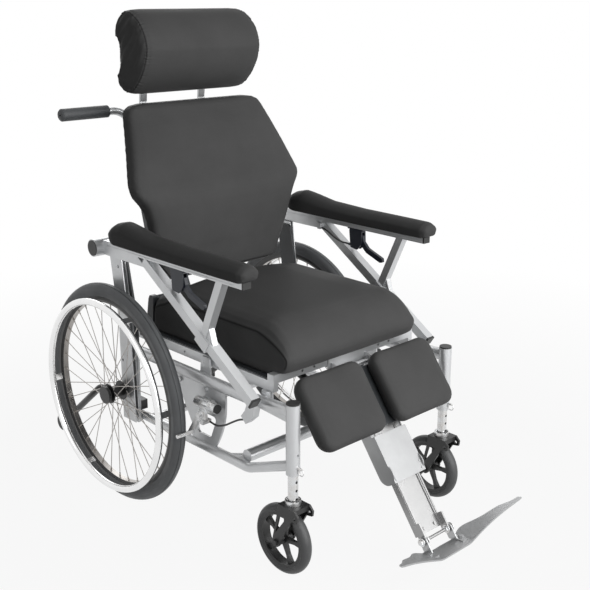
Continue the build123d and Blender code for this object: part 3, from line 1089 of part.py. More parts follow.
def leg_channel():
    """Bent sheet: side walls up to the pin, a front plate below the pads, guides for the slide."""
    back = -CHANNEL_D + 11
    pieces = [leg_box(-CHANNEL_X, CHANNEL_X, COVER_FROM, CHANNEL_L, 11 - CHANNEL_T, 11)]
    corner = 26
    for side in (-1, 1):
        inner = side * (CHANNEL_X - CHANNEL_T)
        outer = side * CHANNEL_X
        pieces.append(leg_box(inner, outer, 14, CHANNEL_L - corner, back, 0))
        pieces.append(leg_box(inner, outer, COVER_FROM, CHANNEL_L, -9, 11))
        pieces.append(leg_rod(inner, outer, CHANNEL_L - corner, back + corner, corner))
        pieces.append(leg_box(inner, outer, 0, 20, -26, 0))
        pieces.append(leg_rod(inner, outer, 0, -LEG_PIN_BACK, 12))
        pieces.append(leg_box(side * (SLIDE_X + 0.4), inner, 150, 190, -SLIDE_D - 6, -2))
        pieces.append(leg_box(side * (SLIDE_X + 0.4), inner, 268, 304, -SLIDE_D - 6, 8))
        for down in (CHANNEL_L - 26, CHANNEL_L - 8):
            pieces.append(LEG * (Pos(side * (CHANNEL_X - 8), -down, 11) * Cylinder(3.6, 2.4)))
    pieces.append(leg_box(-SLIDE_X - 3, SLIDE_X + 3, 150, 190, -SLIDE_D - 6, -SLIDE_D - 0.4))
    pieces.append(leg_box(-SLIDE_X - 3, SLIDE_X + 3, 268, 304, -SLIDE_D - 6, -SLIDE_D - 0.4))
    channel = pieces[0].fuse(*pieces[1:])
    return channel - leg_rod(-80, 80, 0, -LEG_PIN_BACK, PIN_R + RUNNING_FIT)


def calf_plate():
    return leg_box(-200, 200, CALF_TOP + 22, CALF_TOP + CALF_H - 14, 0, 3)


def calf_pads():
    """Two crowned pads with rounded corners."""
    pads = []
    for side in (-1, 1):
        x = side * (CALF_X0 + CALF_W / 2)
        faces = []
        for out, inset in ((0, 14), (6, 6), (16, 1), (30, 0), (40, 3), (46, 10), (49, 24), (CALF_T, 42)):
            outline = RectangleRounded(CALF_W - 2 * inset, CALF_H - 2 * inset, 34 - inset * 0.4)
            faces.append(LEG * (Pos(x, -CALF_TOP - CALF_H / 2, 3.4 + out) * outline))
        pads.append(loft(faces, ruled=True))
    return Compound(children=pads)


def leg_slide():
    """Extruded profile with a bead along each edge and two lugs for the footplate's pin."""
    body = leg_box(-SLIDE_X, SLIDE_X, SLIDE_FROM, SLIDE_TO, -SLIDE_D, -1.5)
    body -= leg_box(-SLIDE_X + 10, SLIDE_X - 10, SLIDE_FROM - 1, SLIDE_TO + 1, -4.5, 0)
    pieces = [leg_rod(-SLIDE_X - 11, SLIDE_X + 11, FOOT_PIN, FOOT_PIN_OUT, 4)]
    for side in (-1, 1):
        pieces.append(leg_box(side * (SLIDE_X - 6), side * (SLIDE_X - 2), SLIDE_FROM, SLIDE_TO, -2, 0))
        pieces.append(LEG * (Pos(side * 20, -SLIDE_TO + 12, -3.5) * Cylinder(4, 3)))
        lug = leg_box(side * (SLIDE_X - 3), side * (SLIDE_X + 2), SLIDE_TO - 30, FOOT_PIN,
                      -SLIDE_D / 2, FOOT_PIN_OUT + 8)
        pieces.append(lug)
        pieces.append(leg_rod(side * (SLIDE_X - 3), side * (SLIDE_X + 2), FOOT_PIN, FOOT_PIN_OUT, 8))
    return body.fuse(*pieces)


def foot_plate():
    """Wing-shaped sheet, its wings raised, with two hinge straps bolted on."""
    base_y, base_z = leg_point(FOOT_DOWN, 8)
    slope = radians(FOOT_SLOPE)
    place = Plane(origin=(0, base_y, base_z), x_dir=(1, 0, 0), z_dir=(0, sin(slope), cos(slope)))
    flat = 55.0
    wing = 232.0
    rise = (wing - flat) * tan(radians(WING_RISE))
    low = FilletPolyline((-wing, rise), (-flat, 0), (flat, 0), (wing, rise), radius=60)
    high = FilletPolyline((wing, rise + PLATE_T), (flat, PLATE_T), (-flat, PLATE_T), (-wing, rise + PLATE_T),
                          radius=60)
    ends = [Line((wing, rise), (wing, rise + PLATE_T)), Line((-wing, rise + PLATE_T), (-wing, rise))]
    section = make_face(Curve() + low + high + ends)
    sheet = extrude(Plane(origin=(0, 60, 0), x_dir=(1, 0, 0), z_dir=(0, -1, 0)) * section, amount=180)
    right = [(55, 10), (82, 17), (130, -8), (185, -34), (226, -62)]
    front = [(229, -72), (205, -66), (130, -48), (77, -43), (0, -42)]
    rear = Spline((0, 8), *right, tangents=[(1, 0), (1, -0.4)])
    fore = Spline(*front, tangents=[(-1, 0.1), (-1, 0)])
    half = make_face(rear + fore + Line(right[-1], front[0]) + Line(front[-1], (0, 8)))
    outline = extrude(half + mirror(half, about=Plane.YZ), amount=rise + 40)
    plate = place * (sheet & (Pos(0, 0, -10) * outline))
    pieces = [plate]
    for side in (-1, 1):
        inner = side * (SLIDE_X + 2.4)
        outer = side * (SLIDE_X + 6.4)
        pieces.append(leg_rod(inner, outer, FOOT_PIN, FOOT_PIN_OUT, 12))
        strap = leg_box(inner, outer, FOOT_PIN, FOOT_DOWN + 6, FOOT_PIN_OUT - 12, FOOT_PIN_OUT + 12)
        strap -= place * Pos(0, 0, PLATE_T / 2 - 100) * Box(600, 600, 200)
        flange = place * (Pos(side * (SLIDE_X + 15), -6, PLATE_T + 1.4) * Box(26, 38, 3))
        bolt = place * (Pos(side * (SLIDE_X + 18), -8, PLATE_T + 2.5) * extrude(RegularPolygon(7, 6), amount=5))
        nut = hex_bolt(outer, *leg_point(FOOT_PIN, FOOT_PIN_OUT), side)
        pieces += [strap, flange, bolt, nut]
    shape = pieces[0].fuse(*pieces[1:])
    return shape - leg_rod(-SLIDE_X - 11, SLIDE_X + 11, FOOT_PIN, FOOT_PIN_OUT, 4 + RUNNING_FIT)


# ---- the assembly --------------------------------------------------------------------------------
both_sides("rear_tyre", rear_tyre())
both_sides("rear_wheel", rear_rim())
both_sides("handrim", handrim())
both_sides("caster_housing", caster_housing())
nodes["caster_stems"] = Compound(children=[caster_stem(), mirror(caster_stem(), about=Plane.YZ)])
both_sides("caster_fork", caster_fork())
both_sides("caster_core", caster_core())
both_sides("caster_tyre", caster_tyre())
both_sides("base_side", base_side())
both_sides("axle_plate", axle_plate())
both_sides("upright", upright())
nodes["cross_tubes"] = cross_tubes()
both_sides("arm_frame", arm_frame())
both_sides("arm_pad", arm_pad())
nodes["tube_plugs"] = tube_plugs()
nodes["lever_brackets"] = Compound(children=[lever_bracket(), mirror(lever_bracket(), about=Plane.YZ)])
both_sides("release_lever", release_lever())
both_sides("brake_mount", brake_mount())
both_sides("brake_shoe", brake_shoe())
nodes["bowden_cables"] = bowden_cables()
nodes["antitip_tubes"] = antitip_tubes()
both_sides("antitip_wheel", antitip_wheel())
nodes["seat_frame"] = seat_frame()
nodes["seat_pan"] = seat_pan()
nodes["seat_cushion"] = seat_cushion()
nodes["back_frame"] = back_frame()
nodes["back_shell"] = back_shell()
nodes["back_cushion"] = back_cushion()
both_sides("push_handle", push_handle())
both_sides("handle_grip", handle_grip())
stem_top, stem_foot = handle_line(1)
for name in ("push_handle_left", "handle_grip_left"):
    nodes[name] = nodes[name].rotate(Axis(stem_foot, Vector(stem_top) - Vector(stem_foot)), HANDLE_TURN)
nodes["headrest_bars"] = headrest_bars()
nodes["headrest_cushion"] = headrest_cushion()
nodes["leg_hanger"] = leg_hanger()
nodes["leg_channel"] = leg_channel()
nodes["calf_plate"] = calf_plate()
nodes["calf_pads"] = calf_pads()
nodes["leg_slide"] = leg_slide()
nodes["foot_plate"] = foot_plate()
tilt_base = (SPRING_BASE_Y, SPRING_BASE_Z)
tilt_top = (TILT_SPRING_TOP_Y, TILT_SPRING_TOP_Z)
nodes["tilt_spring_cylinder"] = spring_cylinder(TILT_SPRING_X, tilt_base, tilt_top, 240)
nodes["tilt_spring_rod"] = spring_rod(TILT_SPRING_X, tilt_base, tilt_top, 120)
recline_front = (RECLINE_SPRING_FRONT_Y, RECLINE_SPRING_FRONT_Z)
recline_arm = (RECLINE_ARM_Y, RECLINE_ARM_Z)
nodes["recline_spring_cylinder"] = spring_cylinder(RECLINE_SPRING_X, recline_front, recline_arm, 250)
nodes["recline_spring_rod"] = spring_rod(RECLINE_SPRING_X, recline_front, recline_arm, 140)

os.makedirs("parts", exist_ok=True)
for name, shape in nodes.items():
    export_step(shape, "parts/" + name + ".step")
whole = Compound(children=[Compound(children=[shape]) for shape in nodes.values()]).bounding_box()
print(len(nodes), "nodes from", whole.min, "to", whole.max)
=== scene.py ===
# %% [markdown]
# # Tilt in space wheelchair
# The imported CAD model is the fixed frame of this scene. Blender adds what the solids leave plain:
# padded covers with seams, gathers and soft swelling, small fasteners, and every finish.
# Everything is in metres, with the chair's front towards -Y and the floor at z = 0.

# %% Load the frame
import math

import bmesh
import bpy
import numpy as np
from mathutils import Matrix, Vector, noise


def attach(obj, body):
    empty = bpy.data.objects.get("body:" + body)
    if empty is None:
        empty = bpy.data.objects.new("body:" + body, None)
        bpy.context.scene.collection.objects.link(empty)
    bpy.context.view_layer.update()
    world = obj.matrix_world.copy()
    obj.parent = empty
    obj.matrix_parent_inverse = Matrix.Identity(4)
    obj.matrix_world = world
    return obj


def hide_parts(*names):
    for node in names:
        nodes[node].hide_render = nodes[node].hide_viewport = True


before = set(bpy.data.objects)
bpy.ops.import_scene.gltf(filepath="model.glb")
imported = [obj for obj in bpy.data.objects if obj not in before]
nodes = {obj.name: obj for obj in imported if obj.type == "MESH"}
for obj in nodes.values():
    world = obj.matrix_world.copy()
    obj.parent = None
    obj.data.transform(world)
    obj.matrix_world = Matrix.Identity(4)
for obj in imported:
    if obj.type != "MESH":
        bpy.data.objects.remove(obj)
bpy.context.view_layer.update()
scene = bpy.context.scene

# %% [markdown]
# ## Values that several pieces share
# A wheelchair is laid out from its rear axle, so the axle's place comes first, and many places
# below are distances from it. Pieces that come in pairs are made in one loop over the two sides.

# %% Shared places
AXLE_Y = 0.2534
AXLE_Z = 0.305
SIDES = {"left": 1, "right": -1}
print("rear axle at", AXLE_Y, AXLE_Z)

# %% [markdown]
# ## Camera
# The photograph is taken from the chair's right front corner, a little above seat height. The
# camera could be placed by eye, but its station and lens were solved from the wheel's ellipse and
# the frame's parallel lines, so the values are used as they are.

# %% Camera
LENS_MM = 60.26
SENSOR_MM = 36.0
CAMERA_PLACE = (-1.711, -1.9076, 1.340)
azimuth = math.radians(-43.41)
elevation = math.radians(16.81)
back_way = Vector((math.sin(azimuth) * math.cos(elevation), -math.cos(azimuth) * math.cos(elevation),
                   math.sin(elevation)))
camera = bpy.data.objects.new("photo_camera", bpy.data.cameras.new("photo_camera"))
camera.data.lens = LENS_MM
camera.data.sensor_width = SENSOR_MM
camera.location = CAMERA_PLACE
camera.rotation_mode = "QUATERNION"
camera.rotation_quaternion = (-back_way).to_track_quat("-Z", "Y")
scene.collection.objects.link(camera)
scene.camera = camera
print("lens", LENS_MM)

# %% [markdown]
# ## Floor and light
# The photograph is a studio cut-out on white with a faint shadow. The floor is pale, and for the
# camera and for mirror rays it glows towards white with distance, so metal reflects the same pale
# room that is seen. One bright world could light the chair, but it would flatten the padding, so
# a broad key lamp, three weaker lamps and a dim even world keep colours near their written values.

# %% Object helpers
def link_object(name, data):
    made = bpy.data.objects.new(name, data)
    scene.collection.objects.link(made)
    return made


def built(name, build, material):
    """The finished bmesh as a new object with one material."""
    mesh = bpy.data.meshes.new(name)
    build.to_mesh(mesh)
    build.free()
    mesh.materials.append(material)
    return link_object(name, mesh)


# %% Node helpers
def node_of(tree, kind, **values):
    """A shader node with its plain properties set."""
    made = tree.nodes.new(kind)
    for key, value in values.items():
        setattr(made, key, value)
    return made


def preset(node, **values):
    """The node's inputs set by name; an underscore stands for a space."""
    for key, value in values.items():
        node.inputs[key.replace("_", " ")].default_value = value
    return node


def new_material(name):
    """A material and its node tree."""
    made = bpy.data.materials.new(name)
    made.use_nodes = True
    return made, made.node_tree


def seen_directly(tree):
    """1 for camera, mirror and see-through rays, and 0 for rays that light the object."""
    paths = node_of(tree, "ShaderNodeLightPath")
    seen = node_of(tree, "ShaderNodeMath", operation="MAXIMUM")
    either = node_of(tree, "ShaderNodeMath", operation="MAXIMUM")
    tree.links.new(paths.outputs["Is Camera Ray"], seen.inputs[0])
    tree.links.new(paths.outputs["Is Glossy Ray"], seen.inputs[1])
    tree.links.new(seen.outputs[0], either.inputs[0])
    tree.links.new(paths.outputs["Is Transmission Ray"], either.inputs[1])
    return either.outputs[0]


# %% Floor
FLOOR_HALF_WIDTH = 14
FLOOR_TONE = (0.32, 0.32, 0.32, 1)
floor_finish, tree = new_material("pale_floor")
tree.nodes.clear()
place = node_of(tree, "ShaderNodeTexCoord")
distance = node_of(tree, "ShaderNodeVectorMath", operation="LENGTH")
fade = preset(node_of(tree, "ShaderNodeMapRange"), From_Min=0.9, From_Max=2.6, To_Min=0.92, To_Max=1.0)
share = node_of(tree, "ShaderNodeMath", operation="MULTIPLY")
matt = preset(node_of(tree, "ShaderNodeBsdfDiffuse"), Color=FLOOR_TONE)
glow = node_of(tree, "ShaderNodeEmission")
mix = node_of(tree, "ShaderNodeMixShader")
surface = node_of(tree, "ShaderNodeOutputMaterial")
tree.links.new(place.outputs["Object"], distance.inputs[0])
tree.links.new(distance.outputs["Value"], fade.inputs["Value"])
tree.links.new(seen_directly(tree), share.inputs[0])
tree.links.new(fade.outputs["Result"], share.inputs[1])
tree.links.new(share.outputs[0], mix.inputs["Fac"])
tree.links.new(matt.outputs[0], mix.inputs[1])
tree.links.new(glow.outputs[0], mix.inputs[2])
tree.links.new(mix.outputs[0], surface.inputs["Surface"])

build = bmesh.new()
bmesh.ops.create_grid(build, x_segments=4, y_segments=4, size=FLOOR_HALF_WIDTH)
floor = built("studio_floor", build, floor_finish)
print("floor", floor.name)

# %% World
ROOM_LIGHT = 0.07
world = bpy.data.worlds.new("studio")
world.use_nodes = True
scene.world = world
tree = world.node_tree
tree.nodes.clear()
strength = preset(node_of(tree, "ShaderNodeMapRange"), To_Min=ROOM_LIGHT, To_Max=1.0)
room = preset(node_of(tree, "ShaderNodeBackground"), Color=(1, 1, 1, 1))
out = node_of(tree, "ShaderNodeOutputWorld")
tree.links.new(seen_directly(tree), strength.inputs["Value"])
tree.links.new(strength.outputs["Result"], room.inputs["Strength"])
tree.links.new(room.outputs[0], out.inputs["Surface"])
scene.view_settings.view_transform = "Standard"
print("room light", ROOM_LIGHT)

# %% Lamps
LAMPS = [  # name, place, the point it faces, width in metres, watts
    ("key_lamp", (0.5, -2.7, 1.7), (0, 0, 0.6), 3.2, 108),
    ("side_lamp", (-3.3, -0.6, 2.0), (0, 0, 0.6), 2.0, 12),
    ("top_lamp", (0.2, 0.4, 3.6), (0, 0, 0.5), 2.6, 3),
    ("back_lamp", (1.6, 3.2, 2.2), (0, 0, 0.6), 2.0, 26),
]
for name, where, target, width, watts in LAMPS:
    lamp = bpy.data.lights.new(name, "AREA")
    lamp.shape = "SQUARE"
    lamp.size = width
    lamp.energy = watts
    made = link_object(name, lamp)
    made.location = where
    made.rotation_euler = (Vector(target) - Vector(where)).to_track_quat("-Z", "Y").to_euler()
print("lamps", len(LAMPS))

# %% [markdown]
# ## Shared effects
# Several finishes share an effect: fine grain in paint and vinyl, faint handling marks, brushing
# along a profile, and a mask that picks a band round a wheel's axle. Each is one node group with
# named inputs, which keeps the materials short and gives the same effect everywhere.

# %% Group helpers
def new_group(name, inputs, outputs):
    """An empty node group with float or vector inputs and float outputs, and its two end nodes."""
    group = bpy.data.node_groups.new(name, "ShaderNodeTree")
    for label, value in inputs:
        kind = "NodeSocketVector" if isinstance(value, tuple) else "NodeSocketFloat"
        socket = group.interface.new_socket(label, in_out="INPUT", socket_type=kind)
        socket.default_value = value
    for label in outputs:
        group.interface.new_socket(label, in_out="OUTPUT", socket_type="NodeSocketFloat")
    return group, group.nodes.new("NodeGroupInput"), group.nodes.new("NodeGroupOutput")


def placed(tree, group, **values):
    """The group as a node in a material, with its inputs set by name."""
    made = tree.nodes.new("ShaderNodeGroup")
    made.node_tree = group
    return preset(made, **values)


# %% Grain: fine pebbles for vinyl, orange peel for paint
grain, enter, leave = new_group("grain", [("Scale", 900.0), ("Softness", 0.5)], ["Height"])
place = node_of(grain, "ShaderNodeTexCoord")
pebbles = node_of(grain, "ShaderNodeTexVoronoi", feature="SMOOTH_F1")
cloud = preset(node_of(grain, "ShaderNodeTexNoise"), Detail=3)
mixed = node_of(grain, "ShaderNodeMix", data_type="FLOAT")
grain.links.new(place.outputs["Object"], pebbles.inputs["Vector"])
grain.links.new(place.outputs["Object"], cloud.inputs["Vector"])
grain.links.new(enter.outputs["Scale"], pebbles.inputs["Scale"])
grain.links.new(enter.outputs["Scale"], cloud.inputs["Scale"])
grain.links.new(enter.outputs["Softness"], mixed.inputs["Factor"])
grain.links.new(pebbles.outputs["Distance"], mixed.inputs["A"])
grain.links.new(cloud.outputs["Fac"], mixed.inputs["B"])
grain.links.new(mixed.outputs["Result"], leave.inputs["Height"])
print("group", grain.name)

# %% Handling marks: broad, faint changes of tone and gloss
marks, enter, leave = new_group("handling_marks", [("Scale", 9.0), ("From", 0.35), ("To", 0.7)], ["Mask"])
place = node_of(marks, "ShaderNodeTexCoord")
cloud = preset(node_of(marks, "ShaderNodeTexNoise"), Detail=5, Roughness=0.62)
stretch = node_of(marks, "ShaderNodeMapRange")
marks.links.new(place.outputs["Object"], cloud.inputs["Vector"])
marks.links.new(enter.outputs["Scale"], cloud.inputs["Scale"])
marks.links.new(cloud.outputs["Fac"], stretch.inputs["Value"])
marks.links.new(enter.outputs["From"], stretch.inputs["From Min"])
marks.links.new(enter.outputs["To"], stretch.inputs["From Max"])
marks.links.new(stretch.outputs["Result"], leave.inputs["Mask"])
print("group", marks.name)

# %% Brushing: fine lines drawn along one direction of the metal
brushing, enter, leave = new_group("brushing", [("Stretch", (1.0, 1.0, 1.0)), ("Scale", 900.0)], ["Height"])
place = node_of(brushing, "ShaderNodeTexCoord")
pulled = node_of(brushing, "ShaderNodeVectorMath", operation="MULTIPLY")
lines = node_of(brushing, "ShaderNodeTexNoise")
lines.inputs["Detail"].default_value = 2
brushing.links.new(place.outputs["Object"], pulled.inputs[0])
brushing.links.new(enter.outputs["Stretch"], pulled.inputs[1])
brushing.links.new(pulled.outputs[0], lines.inputs["Vector"])
brushing.links.new(enter.outputs["Scale"], lines.inputs["Scale"])
brushing.links.new(lines.outputs["Fac"], leave.inputs["Height"])
print("group", brushing.name)

# %% Ring band: 1 between two radii round a line along X, else 0
ring_band, enter, leave = new_group(
    "ring_band", [("Centre", (0.0, 0.0, 0.0)), ("Inner", 0.1), ("Outer", 0.2)], ["Mask"])
place = node_of(ring_band, "ShaderNodeTexCoord")
shifted = node_of(ring_band, "ShaderNodeVectorMath", operation="SUBTRACT")
flat = node_of(ring_band, "ShaderNodeVectorMath", operation="MULTIPLY")
flat.inputs[1].default_value = (0, 1, 1)
radius = node_of(ring_band, "ShaderNodeVectorMath", operation="LENGTH")
above = node_of(ring_band, "ShaderNodeMath", operation="GREATER_THAN")
below = node_of(ring_band, "ShaderNodeMath", operation="LESS_THAN")
both = node_of(ring_band, "ShaderNodeMath", operation="MULTIPLY")
ring_band.links.new(place.outputs["Object"], shifted.inputs[0])
ring_band.links.new(enter.outputs["Centre"], shifted.inputs[1])
ring_band.links.new(shifted.outputs[0], flat.inputs[0])
ring_band.links.new(flat.outputs[0], radius.inputs[0])
ring_band.links.new(radius.outputs["Value"], above.inputs[0])
ring_band.links.new(enter.outputs["Inner"], above.inputs[1])
ring_band.links.new(radius.outputs["Value"], below.inputs[0])
ring_band.links.new(enter.outputs["Outer"], below.inputs[1])
ring_band.links.new(above.outputs[0], both.inputs[0])
ring_band.links.new(below.outputs[0], both.inputs[1])
ring_band.links.new(both.outputs[0], leave.inputs["Mask"])
print("group", ring_band.name)

# %% [markdown]
# ## Finishes
# Each finish is a Principled material. Its colour shifts a little between two close tones, its
# roughness follows the handling marks, and a bump gives the scale of grain that the real surface
# has: orange peel in lacquer, spangle in zinc, drawn lines in extrusions, pebbles in vinyl.

# %% Material helper
def finish(name, tone, second, metallic, rough, bump, scale, softness=0.5, mark_scale=9.0):
    """A two-tone material with handling marks in its gloss and a fine grain in its bump.

    rough is the roughness between the marks and on them, and bump is the grain's depth.
    """
    made, tree = new_material(name)
    shader = tree.nodes["Principled BSDF"]
    worn = placed(tree, marks, Scale=mark_scale)
    fine = placed(tree, grain, Scale=scale, Softness=softness)
    colour = node_of(tree, "ShaderNodeMix", data_type="RGBA")
    preset(colour, A=(*tone, 1), B=(*second, 1))
    gloss = preset(node_of(tree, "ShaderNodeMapRange"), To_Min=rough[0], To_Max=rough[1])
    relief = preset(node_of(tree, "ShaderNodeBump"), Distance=bump)
    tree.links.new(worn.outputs["Mask"], colour.inputs["Factor"])
    tree.links.new(worn.outputs["Mask"], gloss.inputs["Value"])
    tree.links.new(gloss.outputs["Result"], shader.inputs["Roughness"])
    tree.links.new(colour.outputs["Result"], shader.inputs["Base Color"])
    tree.links.new(fine.outputs["Height"], relief.inputs["Height"])
    tree.links.new(relief.outputs["Normal"], shader.inputs["Normal"])
    preset(shader, Metallic=metallic)
    return made


def grey(level, warm=0.0):
    """A near-neutral colour; warm above 0 leans to yellow, below 0 to blue."""
    return (level * (1 + warm), level, level * (1 - warm))


# %% Metals
frame_paint = finish("frame_lacquer", grey(0.66, -0.015), grey(0.60, -0.015), metallic=0.62,
                     rough=(0.32, 0.42), bump=0.00006, scale=700)
preset(frame_paint.node_tree.nodes["Principled BSDF"], Coat_Weight=0.25, Coat_Roughness=0.25)
zinc = finish("bright_zinc", grey(0.72, -0.02), grey(0.62, 0.03), metallic=0.9,
              rough=(0.22, 0.38), bump=0.00005, scale=380, softness=0.2, mark_scale=60)
spoke_steel = finish("spoke_steel", grey(0.70, 0.04), grey(0.60, 0.06), metallic=1.0,
                     rough=(0.2, 0.3), bump=0.00002, scale=900)
handrim_alloy = finish("polished_handrim", grey(0.86), grey(0.80), metallic=1.0,
                       rough=(0.1, 0.2), bump=0.00002, scale=500, softness=0.8, mark_scale=14)
black_metal = finish("black_powder_coat", grey(0.012), grey(0.018), metallic=0.0,
                     rough=(0.34, 0.48), bump=0.0001, scale=900)
dark_metal = finish("dark_grey_powder_coat", grey(0.045, -0.08), grey(0.055, -0.08), metallic=0.1,
                    rough=(0.36, 0.5), bump=0.0001, scale=900)
nickel = finish("nipple_nickel", grey(0.42, 0.06), grey(0.34, 0.06), metallic=1.0,
                rough=(0.28, 0.4), bump=0.00002, scale=900)
print("metals made")

# %% Drawn aluminium: the lines run down the leg rest, or across the footplate
def drawn_metal(name, tone, second, rough, stretch, depth):
    """Aluminium with lines of the given depth; stretch is smallest along the lines."""
    made = finish(name, tone, second, metallic=0.85, rough=rough, bump=0.00003, scale=500,
                  softness=0.9, mark_scale=12)
    tree = made.node_tree
    lines = placed(tree, brushing, Scale=260, Stretch=stretch)
    relief = tree.nodes["Bump"]
    drawn = preset(node_of(tree, "ShaderNodeBump"), Distance=depth)
    tree.links.new(lines.outputs["Height"], drawn.inputs["Height"])
    tree.links.new(relief.outputs["Normal"], drawn.inputs["Normal"])
    tree.links.new(drawn.outputs["Normal"], tree.nodes["Principled BSDF"].inputs["Normal"])
    return made


sheet_metal = drawn_metal("brushed_sheet", grey(0.36, -0.01), grey(0.32, -0.01), rough=(0.34, 0.46),
                          stretch=(1, 0.05, 0.05), depth=0.00006)
bright_profile = drawn_metal("bright_profile", grey(0.36), grey(0.33), rough=(0.24, 0.34),
                             stretch=(1, 0.03, 0.03), depth=0.00005)
tread_sheet = drawn_metal("footplate_sheet", grey(0.44, -0.01), grey(0.38, -0.01), rough=(0.34, 0.46),
                          stretch=(0.05, 1, 1), depth=0.00006)
print("aluminium made")

# %% Plastics and rubbers
black_plastic = finish("black_plastic", grey(0.012), grey(0.017), metallic=0.0,
                       rough=(0.4, 0.5), bump=0.00012, scale=800)
lever_plastic = finish("lever_plastic", (0.009, 0.013, 0.024), (0.013, 0.017, 0.027), metallic=0.0,
                       rough=(0.32, 0.44), bump=0.0001, scale=800)
tyre_grey = finish("grey_tyre", grey(0.128, -0.04), grey(0.112, -0.04), metallic=0.0,
                   rough=(0.48, 0.6), bump=0.00012, scale=700, softness=0.6, mark_scale=20)
caster_rubber = finish("caster_rubber", grey(0.055, -0.02), grey(0.07, -0.02), metallic=0.0,
                       rough=(0.42, 0.55), bump=0.0001, scale=700, softness=0.6, mark_scale=20)
cable_black = finish("cable_sheath", grey(0.014), grey(0.02), metallic=0.0,
                     rough=(0.35, 0.45), bump=0.00005, scale=900)
grip_rubber = finish("grip_rubber", grey(0.05, -0.06), grey(0.062, -0.06), metallic=0.0,
                     rough=(0.5, 0.62), bump=0.00015, scale=800)
print("plastics made")

# %% [markdown]
# ### Finishes with more than one part
# The rear wheel is one CAD node with a black rim, bright spokes and a black hub, and the axle
# plate is silver with a black sleeve and a dark stay. Each could be cut into pieces, but a mask on
# the distance from the axle, or on the place, paints the same borders without cutting anything.

# %% Two finishes on one node
def two_finishes(name, first, second, mask_of):
    """first where the mask is 0 and second where it is 1; both are (tone, metallic, roughness)."""
    made, tree = new_material(name)
    shader = tree.nodes["Principled BSDF"]
    mask = mask_of(tree)
    worn = placed(tree, marks, Scale=14.0)
    colour = node_of(tree, "ShaderNodeMix", data_type="RGBA")
    preset(colour, A=(*first[0], 1), B=(*second[0], 1))
    metal = preset(node_of(tree, "ShaderNodeMapRange"), To_Min=first[1], To_Max=second[1])
    gloss = preset(node_of(tree, "ShaderNodeMapRange"), To_Min=first[2], To_Max=second[2])
    spread = node_of(tree, "ShaderNodeMath", operation="MULTIPLY_ADD")
    spread.inputs[1].default_value = 0.12
    fine = placed(tree, grain, Scale=800.0)
    relief = preset(node_of(tree, "ShaderNodeBump"), Distance=0.00006)
    tree.links.new(mask, colour.inputs["Factor"])
    tree.links.new(mask, metal.inputs["Value"])
    tree.links.new(mask, gloss.inputs["Value"])
    tree.links.new(worn.outputs["Mask"], spread.inputs[0])
    tree.links.new(gloss.outputs["Result"], spread.inputs[2])
    tree.links.new(spread.outputs[0], shader.inputs["Roughness"])
    tree.links.new(colour.outputs["Result"], shader.inputs["Base Color"])
    tree.links.new(metal.outputs["Result"], shader.inputs["Metallic"])
    tree.links.new(fine.outputs["Height"], relief.inputs["Height"])
    tree.links.new(relief.outputs["Normal"], shader.inputs["Normal"])
    return made


# %% Wheel and axle plate
HUB_R = 0.0285
RIM_INNER_R = 0.2545
PLATE_OUTER_X = 0.2984
STAY_Z = 0.44


def spoke_mask(tree):
    """1 between the hub and the rim."""
    band = placed(tree, ring_band, Centre=(0, AXLE_Y, AXLE_Z), Inner=HUB_R, Outer=RIM_INNER_R)
    return band.outputs["Mask"]


def plate_mask(tree):
    """1 on the sleeve and axle, past the plate's outer face, and on the stay above the rail."""
    place = node_of(tree, "ShaderNodeTexCoord")
    split = node_of(tree, "ShaderNodeSeparateXYZ")
    width = node_of(tree, "ShaderNodeMath", operation="ABSOLUTE")
    past = node_of(tree, "ShaderNodeMath", operation="GREATER_THAN")
    past.inputs[1].default_value = PLATE_OUTER_X
    above = node_of(tree, "ShaderNodeMath", operation="GREATER_THAN")
    above.inputs[1].default_value = STAY_Z
    either = node_of(tree, "ShaderNodeMath", operation="MAXIMUM")
    tree.links.new(place.outputs["Object"], split.inputs[0])
    tree.links.new(split.outputs["X"], width.inputs[0])
    tree.links.new(width.outputs[0], past.inputs[0])
    tree.links.new(split.outputs["Z"], above.inputs[0])
    tree.links.new(past.outputs[0], either.inputs[0])
    tree.links.new(above.outputs[0], either.inputs[1])
    return either.outputs[0]


wheel_finish = two_finishes("wheel_black_and_steel", (grey(0.012), 0.0, 0.32),
                            (grey(0.36, 0.05), 1.0, 0.26), spoke_mask)
plate_finish = two_finishes("axle_plate_and_sleeve", (grey(0.52, -0.02), 0.55, 0.36),
                            (grey(0.018, -0.15), 0.0, 0.4), plate_mask)
print("wheel and plate finishes made")

# %% [markdown]
# ### Vinyl
# The covers are coated fabric: near-black, softly glossy, with a fine leather grain. The gloss
# could come from a clear coat, but a low specular level over a medium roughness is nearer to the
# photograph's wide, dull highlights. A "seam" attribute on each pad paints shade into the colour
# along its pressed-in seam groove.

# %% Vinyl finishes
# Painted shade: along each seam the vinyl's colour is darkened to this share of its tone.
SEAM_PAINTED_SHADE = 0.3
DULL_SHINE = 0.03


def vinyl_finish(name, tone, rough):
    """Coated fabric with painted shade darkening its colour along its seams."""
    made = finish(name, grey(tone), grey(tone * 1.15), metallic=0.0, rough=(rough, rough + 0.08),
                  bump=0.00009, scale=820, softness=0.35, mark_scale=7.0)
    tree = made.node_tree
    shader = tree.nodes["Principled BSDF"]
    # Painted shade along the pressed seam: the seam attribute mixes a darker tone over the base colour.
    seam = node_of(tree, "ShaderNodeAttribute", attribute_name="seam")
    dark = node_of(tree, "ShaderNodeMix", data_type="RGBA")
    preset(dark, B=(*grey(tone * SEAM_PAINTED_SHADE), 1))
    tree.links.new(seam.outputs["Fac"], dark.inputs["Factor"])
    tree.links.new(tree.nodes["Mix"].outputs["Result"], dark.inputs["A"])
    tree.links.new(dark.outputs["Result"], shader.inputs["Base Color"])
    shader.inputs["Specular IOR Level"].default_value = DULL_SHINE
    return made


